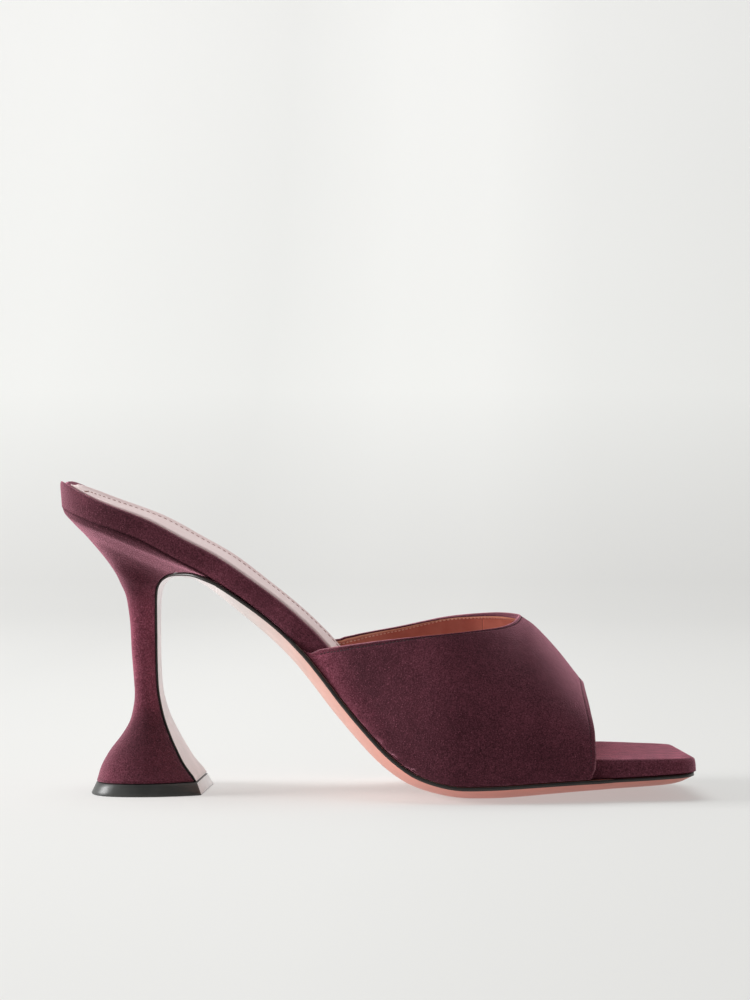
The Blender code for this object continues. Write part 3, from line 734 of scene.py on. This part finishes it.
def sole_material():
    """Sole leather: salmon under the foot; its paling through the waist to almost white down the breast is
    painted light.
    """
    material, tree, shader = node_material("sole_leather", 0.42)
    coords = add(tree, "ShaderNodeTexCoord")
    # Salmon along the tread, paling to almost white at the breast: the paling is painted light
    along = ramp(tree, reach_along(tree, coords, ALONG_X, SOLE_SPAN), (
        (0.0, (1.0, 0.98, 1.0)),
        (0.06, (1.0, 0.96, 0.98)),
        (0.12, (0.84, 0.77, 0.76)),
        (0.20, (0.64, 0.56, 0.53)),
        (0.33, (0.62, 0.345, 0.285)),
        (0.60, (0.70, 0.245, 0.185)),
        (1.0, (0.56, 0.19, 0.145)),
    ))
    mottle = noise(tree, coords, 150, 4.0, 0.6)
    tone = ramp(tree, mottle, ((0.3, (0.90, 0.90, 0.90)), (0.7, (1.06, 1.04, 1.04))))
    colour = multiply(tree, along, tone)
    tree.links.new(colour, shader.inputs["Base Color"])
    bump(tree, shader, mottle, 0.2, 0.0002)
    return material


sole_leather = sole_material()


# Board, sock and sole

BOARD_FOOT = 0.0004
FOOT_INSET = 0.0003


def make_board():
    """The suede wrap of the board: its foot, its sides, the rounded rim and the cupped top."""
    rows = []
    for x in board_stations():
        inset = BOARD_RECESS * under_vamp(x)
        left = half_width(x, -1) - inset
        right = half_width(x, 1) - inset
        drop = end_drop(x)
        ring = []
        for side, reach in ((-1, left), (1, right)):
            rounding = min(BOARD_ROUNDING + 0.4 * drop, 0.4 * reach)
            corner = footbed(x, side * (reach - rounding), reach) - drop
            half = [on_sole(x, side * (reach - FOOT_INSET * min(reach / (10 * FOOT_INSET), 1)), 0.0)]
            half.append(on_sole(x, side * reach, BOARD_FOOT))
            half.append(on_sole(x, side * reach, 0.5 * (corner - rounding)))
            for a in range(0, 91, 15):
                turn = math.radians(a)
                y = side * (reach - rounding * (1 - math.cos(turn)))
                half.append(on_sole(x, y, corner - rounding * (1 - math.sin(turn))))
            for c in (0.85, 0.7, 0.55, 0.4, 0.2):
                y = side * (reach - rounding) * c
                half.append(on_sole(x, y, footbed(x, y, reach) - drop))
            ring.append(half)
        middle = on_sole(x, 0.0, footbed(x, 0.0, left) - drop)
        bottom = []
        for c in reversed(ACROSS[1:-1]):
            y = c * (right if c > 0 else left)
            bottom.append(on_sole(x, y, -board_crown(x, y)))
        ring = ring[0] + [middle] + ring[1][::-1] + bottom
        rows.append(ring + ([ring[-1]] if len(ring) % 2 else []))
    mesh = grid_mesh("board_wrap", rows)
    return add_piece("board_wrap", mesh, [board_suede], "midsole")


def sock_reach(x, side):
    board = half_width(x, side) - BOARD_RECESS * under_vamp(x)
    outline = half_width(x - SOCK_BACK_INSET, side) - BOARD_RECESS * under_vamp(x)
    return max(min(outline, board) - SOCK_INSET, 2 * GAP), board


def sock_point(x, y, board, lift=0.0):
    return on_sole(x, y, footbed(x, y, board) + GAP + SOCK_THICKNESS + lift)


# The sock's end, its stitch line's distance from the edge and end, and the padding's height and turned edge
SOCK_END = 0.71 * SOLE_LENGTH
SOCK_STITCH = 0.0024
SOCK_STITCH_END = 0.70 * SOLE_LENGTH
SOCK_DIP = 0.00075
SOCK_TURN = 0.00035
SOCK_CLOSE = 0.0072


def sock_valley(x, inside):
    """The stitching pulls the sock down, so that its padded edge stands a little over the rest."""
    depth = SOCK_DIP * ease((x - SEAT_START - SOCK_BACK_INSET) / 0.006)
    return -depth * ease(inside / SOCK_STITCH)


def sock_places(reach):
    """Distances from the middle line out to the edge, close together over the valley."""
    close = (0.0072, 0.0060, 0.0048, 0.0040, 0.0034, 0.0028, 0.0023, 0.0018, 0.0013, 0.0008, 0.0003, 0.0)
    start = max(reach - SOCK_CLOSE, 0.3 * reach)
    wide = [start * n / 6 for n in range(6)]
    return wide + [start + (reach - start) * (1 - place / SOCK_CLOSE) for place in close]


def make_sock():
    """The leather sock: a thin padded sheet from just inside the seat's back to under the vamp."""
    rows = []
    start = SEAT_START + SOCK_BACK_INSET + 0.0001
    for x in board_stations():
        if x < start or x > SOCK_END:
            continue
        high = []
        low = []
        for side in (-1, 1):
            reach, board = sock_reach(x, side)
            half = []
            under = []
            for place in sock_places(reach):
                inside = reach - place
                fold = -SOCK_TURN * max(1 - inside / 0.0005, 0.0) ** 2
                half.append(sock_point(x, side * place, board, sock_valley(x, inside) + fold))
                under.append(sock_point(x, side * place, board, -0.0002 - GAP - SOCK_THICKNESS))
            high.append(half)
            low.append(under)
        rows.append(high[0][::-1] + high[1][1:] + low[1][::-1] + low[0][1:])
    mesh = grid_mesh("sock", rows)
    return add_piece("sock", mesh, [sock_leather], "insole")


# Faces of the sole's toe end that look ahead are painted like its sides
TOE_PAINT = 0.0030
LOOKS_AHEAD = 0.75


def make_sole():
    """The sole sheet and its strip down the breast, with painted thin sides all along."""
    rows = []
    stations = board_stations()
    corners = SOLE_LENGTH - TOE_CORNER
    lip = HEEL_ROWS[0][0] * SOLE_LENGTH
    tread = [x for x in stations if x > lip + 0.003]
    for x in reversed(tread):
        shown = under_vamp(x)
        grow = SOLE_UNDER_VAMP * shown - SOLE_INSET * (1 - shown)
        power = profile(x, 5)
        from_tip = (SOLE_LENGTH - x) / (2 * TOE_CORNER)
        fade = 1 - max(1 - from_tip, 0.0) ** 4
        pull = SOLE_INSET * ease((x - corners) / TOE_CORNER)
        top = []
        bottom = []
        for c in ACROSS:
            y = c * (half_width(x, 1 if c > 0 else -1) + grow)
            upper = on_sole(x, y, -GAP - board_crown(x, y))
            depth = SOLE_EDGE + profile(x, 4) * SOLE_CROWN * fade * (1 - abs(c) ** power)
            lower = on_sole(x, y, -GAP - depth)
            lower.z = max(lower.z, 0.0)
            upper.x -= pull
            lower.x -= pull
            top.append(upper)
            bottom.append(lower)
        rows.append(top + bottom[::-1])
    breast = fine_breast()
    for i, (front, _, front_half, _, crown, normal) in enumerate(breast):
        edge = BREAST_EDGE + (SOLE_EDGE - BREAST_EDGE) * max(1 - i / (2.5 * BREAST_CUTS), 0.0)
        top = [front + Vector((0, c * front_half, 0)) for c in ACROSS]
        bottom = []
        for c in ACROSS:
            depth = edge + crown * (1 - abs(c) ** 2.2)
            point = front - normal * depth + Vector((0, c * front_half, 0))
            if i == len(breast) - 1:
                point.z = front.z
            bottom.append(point)
        rows.append(top + bottom[::-1])
    count = len(rows[0])
    edges = (count // 2 - 1, count - 1)

    mesh = grid_mesh("sole_sheet", rows, lambda i, k: int(k in edges))
    for polygon in mesh.polygons:
        centre = polygon.center - ORIGIN
        if centre.x > SOLE_LENGTH - TOE_PAINT and polygon.normal.x > LOOKS_AHEAD:
            polygon.material_index = 1
    return add_piece("sole_sheet", mesh, [sole_leather, edge_paint], "outsole")


BREAST_CUTS = 4


def fine_breast():
    """The breast and heel rows cut finely: smooth in every column between the source's rows."""
    rows = breast_rows()
    numbered = [(n, r[0].x, r[0].z, r[1].x, r[1].z, r[2], r[3], r[4]) for n, r in enumerate(rows)]
    cuts = (len(rows) - 1) * BREAST_CUTS
    fine = []
    for k in range(cuts + 1):
        t = k / BREAST_CUTS
        fx, fz, bx, bz, fh, wh, crown = [spline(numbered, t, c) for c in range(1, 8)]
        fine.append([Vector((fx, 0, fz)), Vector((bx, 0, bz)), fh, wh, crown])
    for i, row in enumerate(fine):
        along = fine[min(i + 1, cuts)][0] - fine[max(i - 1, 0)][0]
        row.append(Vector((along.z, 0.0, -along.x)).normalized())
    return fine


# Heel and lift

# Shares of the way from the heel's front to its back, close together over the rounded back
FINE_SHARES = (
    0.0, 0.02, 0.06, 0.12, 0.2, 0.3, 0.4, 0.5, 0.6, 0.68,
    0.75, 0.81, 0.86, 0.9, 0.935, 0.96, 0.98, 0.993, 1.0,
)


def smooth_heel_ring(front, back, front_half, wide_half, seat=False):
    return heel_ring(front, back, front_half, wide_half, seat, FINE_SHARES)


def soften(rows):
    """Rounds the turn from the seat into the neck, away from the breast and from the seat itself."""
    count = len(rows[0])
    for _ in range(6):
        fresh = [list(row) for row in rows]
        for i in range(1, 3 * BREAST_CUTS):
            for k in range(count):
                from_front = min(k, count - 1 - k)
                weight = 0.5 * ease((from_front - 1) / 5)
                fresh[i][k] = rows[i][k].lerp((rows[i - 1][k] + rows[i + 1][k]) / 2, weight)
        rows = fresh
    return rows


# The cover's first ring is raised and widened a little, so that only a thin line parts it from the board
SEAT_LAP = 0.00022
SEAT_SPREAD = 1.016


def make_heel_cover():
    """The suede over the heel block, from the seat down to the lift."""
    fine = fine_breast()
    front = Vector((fine[0][0].x - GAP, 0, 0))
    back = Vector((SEAT_START + 3 * GAP, 0, 0))
    rows = [smooth_heel_ring(front, back, fine[0][2], fine[0][3], True)]
    for point in rows[0]:
        point.z += SEAT_LAP
        point.y *= SEAT_SPREAD
    for i, (front, back, front_half, wide_half, _, normal) in enumerate(fine):
        ahead = front + normal * GAP
        if i == len(fine) - 1:
            ahead.z = front.z
        rows.append(smooth_heel_ring(ahead, back, front_half, max(wide_half, front_half)))
    rows = soften(rows)
    mesh = grid_mesh("heel_cover", rows)
    return add_piece("heel_cover", mesh, [heel_suede], "heel")


# The lift's rows: share of the way down and how far its edge is broken there
LIFT_ROWS = ((0.0, 0.0003), (0.06, 0.0), (0.35, 0.0), (0.65, 0.0), (0.93, 0.0), (1.0, 0.0003))


def make_lift():
    """The rubber lift, flaring down to the floor, with a pale painted reflection on its front face."""
    front, back, front_half, wide_half, _ = breast_rows()[-1]
    rows = []
    for share, inset in LIFT_ROWS:
        flare = LIFT_FLARE * share - inset
        z = LIFT_THICKNESS * (1 - share)
        low_front = Vector((front.x + BREAST_EDGE + flare, 0, z))
        low_back = Vector((back.x - flare, 0, z))
        rows.append(smooth_heel_ring(low_front, low_back, front_half + 1.5 * flare, wide_half + 0.3 * flare))
    front_face = len(rows[0]) - 1

    # The front face's middle rows carry the pale painted reflection
    def rule(i, k):
        return 1 if k == front_face and 0 < i < 4 else 0

    mesh = grid_mesh("lift_plate", rows, rule)
    return add_piece("lift_plate", mesh, [lift_rubber, lift_painted_reflection], "top_lift")


# Vamp

AROUND = 60
ALONG = 64
MIDDLE_CUTS = 60
FOLD = 0.0005
FOLD_TURNS = (22.5, 45, 67.5, 90, 112.5, 135, 157.5)

# Stitch lines from the vamp's edges, the grooves they lie in, and the pressed collar foot
COLLAR_STITCH = 0.0014
TOE_STITCH = 0.0021
LINING_STITCH = 0.0017
GROOVE_DEPTH = 0.00024
GROOVE_SPREAD = 0.00028
PRESSED = 0.0007

# Places across the leather close to an edge, where it rounds and the stitches lie
NEAR_EDGE = [FOLD + d for d in (0.0, 0.0002, 0.0004, 0.0006, 0.0008, 0.0010, 0.0012, 0.0015, 0.0019, 0.0025)]
EDGE_REACH = 0.0034

# The outer side's lie: place and spread from collar to toe, place and spread up to the crest, height
LIE = (
    (0.30, 0.16, 0.50, 0.20, -0.00025),
    (0.55, 0.12, 0.72, 0.12, 0.00018),
)


def vamp_row(side, edges, t):
    """A row of even points from the sole to the crest; t runs from the collar to the toe edge."""
    collar, toe = edges
    fine = []
    for k in range(2 * AROUND + 1):
        share = k / (2 * AROUND)
        cx, ca = read_line(collar, share)
        tx, ta = read_line(toe, share)
        angle = ca + (ta - ca) * t
        if k == 0:
            angle = -math.pi
        if k == 2 * AROUND:
            angle = math.pi / 2
        x = cx + (tx - cx) * t
        if 0 < k and -angle * (crest_height(x) - wall_foot(x)) > 0.97 * (wall_foot(x) - feather_height(x)):
            continue
        fine.append(on_last(x, angle, side))
    lengths = lengths_along(fine)
    row = []
    for k in range(AROUND + 1):
        i, t = place_on(lengths, lengths[-1] * k / AROUND)
        row.append(fine[i].lerp(fine[i + 1], t))
    return row


def vamp_grid():
    """Points and outward normals of the vamp's outer face: columns over the crest, rows collar to toe."""
    columns = []
    for side in (-1, 1):
        collar = edge_line(COLLAR, side, 1 if side < 0 else 2, THROAT_HEIGHT)
        toe = edge_line(TOE_EDGE, side, 1, TOE_OPENING_HEIGHT)
        rows = [vamp_row(side, (collar, toe), j / ALONG) for j in range(ALONG + 1)]
        half = [[row[k] for row in rows] for k in range(AROUND + 1)]
        columns += half if side < 0 else half[-2::-1]
    last = len(columns) - 1
    normals = []
    for i, column in enumerate(columns):
        before = columns[max(i - 1, 0)]
        after = columns[min(i + 1, last)]
        row = []
        for j in range(ALONG + 1):
            along = column[min(j + 1, ALONG)] - column[max(j - 1, 0)]
            normal = along.cross(after[j] - before[j]).normalized()
            if normal.dot(Vector((0, column[j].y, 0.5 * column[j].z))) < 0:
                normal.negate()
            row.append(normal)
        normals.append(row)
    return columns, normals


VAMP, VAMP_NORMALS = vamp_grid()
VAMP_WIDTHS = [sum((b - a).length for a, b in zip(column, column[1:])) for column in VAMP]


def stretch(i, t, point):
    """Uneven lie of the stretched suede over the last: positive is outward."""
    share = min(i, len(VAMP) - 1 - i) / AROUND
    outer = i <= AROUND
    free = math.sin(math.pi * min(max(t, 0.0), 1.0))
    value = -0.00014 * math.exp(-((t - 0.86) / 0.07) ** 2) * math.sin(math.pi * share)
    wave = math.sin(6.1 * t + 2.3 * share + (0.0 if outer else 1.7))
    value += 0.00020 * wave * free * math.sin(math.pi * share)
    if outer:
        for along, along_spread, up, up_spread, height in LIE:
            value += height * math.exp(-((t - along) / along_spread) ** 2 - ((share - up) / up_spread) ** 2)
    waist = ease((0.66 - point.x / SOLE_LENGTH) / 0.16)
    value -= (0.0003 + 0.0004 * waist) * max(1 - share / 0.16, 0.0) ** 2
    return value


def pressed(i, point):
    """How far the leather is thinned and pressed flat where its collar meets the board."""
    share = min(i, len(VAMP) - 1 - i) / AROUND
    return PRESSED * (1 - ease(share / 0.30)) * (1 - ease((point.x / SOLE_LENGTH - 0.42) / 0.06))


def on_vamp(i, distance, from_toe=False):
    """A point and normal on the vamp, at a distance along the leather from its collar or toe edge."""
    t = distance / VAMP_WIDTHS[i]
    if from_toe:
        t = 1 - t
    place = min(max(t, 0.0), 1.0) * ALONG
    j = min(int(place), ALONG - 1)
    point = VAMP[i][j].lerp(VAMP[i][j + 1], place - j)
    normal = VAMP_NORMALS[i][j].lerp(VAMP_NORMALS[i][j + 1], place - j).normalized()
    lie = stretch(i, t, point) - pressed(i, point)
    for off in (t * VAMP_WIDTHS[i] - COLLAR_STITCH, (1 - t) * VAMP_WIDTHS[i] - TOE_STITCH):
        lie -= GROOVE_DEPTH * math.exp(-(off / GROOVE_SPREAD) ** 2)
    return point + normal * lie, normal


def inner_point(i, point, normal):
    """The point of the lining's face under a point of the outer face."""
    return point - normal * (VAMP_WALL - pressed(i, point))


def make_vamp():
    """The vamp with its wall: each column is a closed ring round the leather, with folded, rounded edges."""
    rows = []
    split = len(FOLD_TURNS) // 2
    for i in range(len(VAMP)):
        reach = VAMP_WIDTHS[i] - 2 * EDGE_REACH
        middle = [EDGE_REACH + reach * n / MIDDLE_CUTS for n in range(1, MIDDLE_CUTS)]
        places = NEAR_EDGE + middle
        outer = [on_vamp(i, d) for d in places]
        outer += [on_vamp(i, d, True) for d in reversed(NEAR_EDGE)]
        ring = [point for point, normal in outer]
        inner = [inner_point(i, point, normal) for point, normal in outer]
        folds = []
        ends = ((outer[-1], outer[-2], inner[-1]), (outer[0], outer[1], inner[0]))
        for (point, normal), beside, inside in ends:
            out = point - beside[0]
            out = (out - normal * out.dot(normal)).normalized()
            fold = []
            half = (point - inside).length / 2
            for a in FOLD_TURNS:
                turn = math.radians(a)
                fold.append(point - normal * half * (1 - math.cos(turn)) + out * FOLD * math.sin(turn))
            folds.append(fold)
        collar_fold = folds[1][::-1]
        rows.append(collar_fold[split:] + ring + folds[0] + inner[::-1] + collar_fold[:split])
    shown = 2 * len(NEAR_EDGE) + MIDDLE_CUTS - 1
    count = 2 * shown + 2 * len(FOLD_TURNS)

    def rule(i, k):
        """Round the ring from the collar: suede, toe fold, lining between bright edges, collar fold; the
        folds' lighter suede is a painted highlight.
        """
        k = (k - len(FOLD_TURNS) + split) % count
        if i < 2 or i > len(VAMP) - 4 or k < shown - 2:
            return 0
        if k < shown + 4 or k >= count - 3:
            return 3
        if k >= count - 9:
            return 0
        return 1 if shown + 8 <= k < count - 11 else 2

    mesh = grid_mesh("vamp", rows, rule)
    materials = [vamp_suede, lining_leather, lining_edge, fold_suede_painted_highlight]
    return add_piece("vamp", mesh, materials, "upper")


# Stitches

THREAD_SIDES = 6
THREAD_END = 0.55
FEET_LEFT_OUT = 3

# A stitch from end to end: share of its length and height in thread radii
STITCH_RISE = ((0, -1.6), (0.18, -0.25), (0.5, 0.15), (0.82, -0.25), (1, -1.6))


def tube(bm, points, radius):
    """A thin thread through points, closed at both ends."""
    rings = []
    for i, point in enumerate(points):
        ahead = points[min(i + 1, len(points) - 1)] - points[max(i - 1, 0)]
        ahead.normalize()
        across = ahead.cross(Vector((0.13, 0.21, 0.97))).normalized()
        up = ahead.cross(across)
        size = radius * (THREAD_END if i in (0, len(points) - 1) else 1.0)
        ring = []
        for s in range(THREAD_SIDES):
            turn = 2 * math.pi * s / THREAD_SIDES
            spoke = across * math.cos(turn) + up * math.sin(turn)
            ring.append(bm.verts.new(point + ORIGIN + spoke * size))
        rings.append(ring)
    for a, b in zip(rings, rings[1:]):
        for s in range(THREAD_SIDES):
            m = (s + 1) % THREAD_SIDES
            bm.faces.new((a[s], a[m], b[m], b[s]))
    bm.faces.new(rings[0][::-1])
    bm.faces.new(rings[-1])


def stitch_row(name, line, normals, material, pitch, length, radius):
    """A row of stitches along a line of points: each one dips into the surface at its ends."""
    bm = bmesh.new()
    lengths = lengths_along(line)
    count = int((lengths[-1] - length) / pitch)
    for n in range(count):
        start = (n + 0.5) * pitch
        points = []
        for share, rise in STITCH_RISE:
            i, t = place_on(lengths, start + length * share)
            normal = normals[i].lerp(normals[i + 1], t).normalized()
            points.append(line[i].lerp(line[i + 1], t) + normal * radius * rise)
        tube(bm, points, radius)
    bmesh.ops.recalc_face_normals(bm, faces=bm.faces)
    return add_piece(name, finished(bm, name), [material])


def vamp_line(distance, from_toe=False, inside=False):
    """A line at a set distance from the vamp's collar or toe edge, from the outer side over to the inner."""
    points = []
    normals = []
    for i in range(FEET_LEFT_OUT, len(VAMP) - FEET_LEFT_OUT):
        point, normal = on_vamp(i, distance, from_toe)
        if inside:
            point = inner_point(i, point, normal)
            normal = -normal
        points.append(point)
        normals.append(normal)
    return points, normals


def sock_line():
    """The stitch line inside the sock's edge, from the outer side round the back to the inner side."""
    points = []
    normals = []
    first = SEAT_START + SOCK_BACK_INSET + SOCK_STITCH + 0.0002
    stations = [x for x in board_stations() if first < x < SOCK_STITCH_END]
    for side, order in ((-1, stations[::-1]), (1, stations)):
        for x in order:
            reach, board = sock_reach(x, side)
            behind = sock_reach(x - SOCK_STITCH, side)[0]
            place = max(min(reach, behind) - SOCK_STITCH, 0.0)
            nx, nz = feather_normal(x)
            points.append(sock_point(x, side * place, board, sock_valley(x, reach - place)))
            normals.append(Vector((nx, 0, nz)))
    return points, normals


make_board()
make_sock()
make_sole()
make_heel_cover()
make_lift()
make_vamp()

# Each row's line, then its thread, pitch, stitch length and thread radius
stitch_row("collar_stitches", *vamp_line(COLLAR_STITCH), thread_dark, 0.00118, 0.00082, 0.00021)
stitch_row("toe_stitches", *vamp_line(TOE_STITCH, from_toe=True), thread_dark, 0.00118, 0.00082, 0.00021)
stitch_row("lining_stitches", *vamp_line(LINING_STITCH, inside=True), thread_pale, 0.00135, 0.00080, 0.00026)
stitch_row("sock_stitches", *sock_line(), thread_sock, 0.0021, 0.0015, 0.00022)


# Room, light and camera

ROOM_BACK = 1.2
ROOM_CURVE = 1.2
ROOM_FRONT = -3.0
ROOM_HEIGHT = 4.0
ROOM_HALF_WIDTH = 5.0
FLOOR_DROP = 0.00002
ROOM_COLOUR = (0.42, 0.425, 0.415)
ROOM_GLOW = 0.70
GLOW_RISE = (0.02, 0.60)
GLOW_WIDTH = (-0.45, 0.45)
GLOW_TONES = ((0.0, 0.92), (0.25, 0.84), (0.39, 0.92), (0.5, 0.92), (0.61, 0.84), (1.0, 0.74))


def room_paint():
    """Paint with a glow of its own, like a lit studio table."""
    material, tree, shader = node_material("room_paint", 0.9, specular=0.0)
    shader.inputs["Emission Strength"].default_value = ROOM_GLOW
    coords = add(tree, "ShaderNodeTexCoord")
    upward = ramp(tree, reach_along(tree, coords, ALONG_Z, GLOW_RISE), (
        (0.0, (0.635, 0.625, 0.615)),
        (0.3, (0.885, 0.885, 0.865)),
        (1.0, (0.965, 0.96, 0.945)),
    ))
    across = tone_ramp(tree, reach_along(tree, coords, ALONG_X, GLOW_WIDTH), GLOW_TONES)
    fade = multiply(tree, upward, across)
    tree.links.new(fade, shader.inputs["Emission Color"])
    cloud = noise(tree, coords, 2.0, 2.0, 0.5)
    dim = tuple(channel * 0.985 for channel in ROOM_COLOUR)
    tone = ramp(tree, cloud, ((0.3, ROOM_COLOUR), (0.7, dim)))
    tree.links.new(tone, shader.inputs["Base Color"])
    return material


def make_room():
    """A pale floor that curves up behind the shoe."""
    line = [(ROOM_FRONT, 0.0), (ROOM_BACK, 0.0)]
    for a in range(10, 91, 10):
        turn = math.radians(a)
        line.append((ROOM_BACK + ROOM_CURVE * math.sin(turn), ROOM_CURVE * (1 - math.cos(turn))))
    line.append((ROOM_BACK + ROOM_CURVE, ROOM_HEIGHT))
    bm = bmesh.new()
    ends = (-ROOM_HALF_WIDTH, ROOM_HALF_WIDTH)
    rows = [[bm.verts.new((x, y, z - FLOOR_DROP)) for x in ends] for y, z in line]
    for a, b in zip(rows, rows[1:]):
        bm.faces.new((a[0], a[1], b[1], b[0]))
    mesh = finished(bm, "room")
    mesh.materials.append(room_paint())
    room = bpy.data.objects.new("room", mesh)
    bpy.context.scene.collection.objects.link(room)


def area_light(name, place, target, size, power):
    light = bpy.data.lights.new(name, "AREA")
    light.shape = "DISK"
    light.size = size
    light.energy = power
    lamp = bpy.data.objects.new(name, light)
    lamp.location = place
    lamp.rotation_euler = (Vector(target) - Vector(place)).to_track_quat("-Z", "Y").to_euler()
    bpy.context.scene.collection.objects.link(lamp)


make_room()
area_light("overhead", (-0.5, 0.3, 1.9), (0, 0, 0.05), 1.4, 19)
area_light("left", (-1.6, -0.15, 0.45), (0, 0, 0.04), 0.7, 33)
world = bpy.data.worlds.new("studio")
bpy.context.scene.world = world
world.use_nodes = True
sky = world.node_tree.nodes["Background"]
sky.inputs["Color"].default_value = (1.0, 1.0, 0.985, 1)
sky.inputs["Strength"].default_value = 0.24
bpy.context.scene.view_settings.view_transform = "Standard"

# The photograph's camera: a 100 mm lens, almost level, a little towards the toe
PITCH = math.radians(0.35)
TURN = math.radians(3.4)
TARGET = Vector((0.10454, 0.0, 0.09598)) + ORIGIN
DISTANCE = 0.9167
look = Vector((-math.sin(TURN) * math.cos(PITCH), math.cos(TURN) * math.cos(PITCH), -math.sin(PITCH)))
lens = bpy.data.cameras.new("camera")
lens.lens = 100
lens.sensor_width = 36
camera = bpy.data.objects.new("camera", lens)
camera.location = TARGET - look * DISTANCE
camera.rotation_euler = look.to_track_quat("-Z", "Y").to_euler()
bpy.context.scene.collection.objects.link(camera)
bpy.context.scene.camera = camera
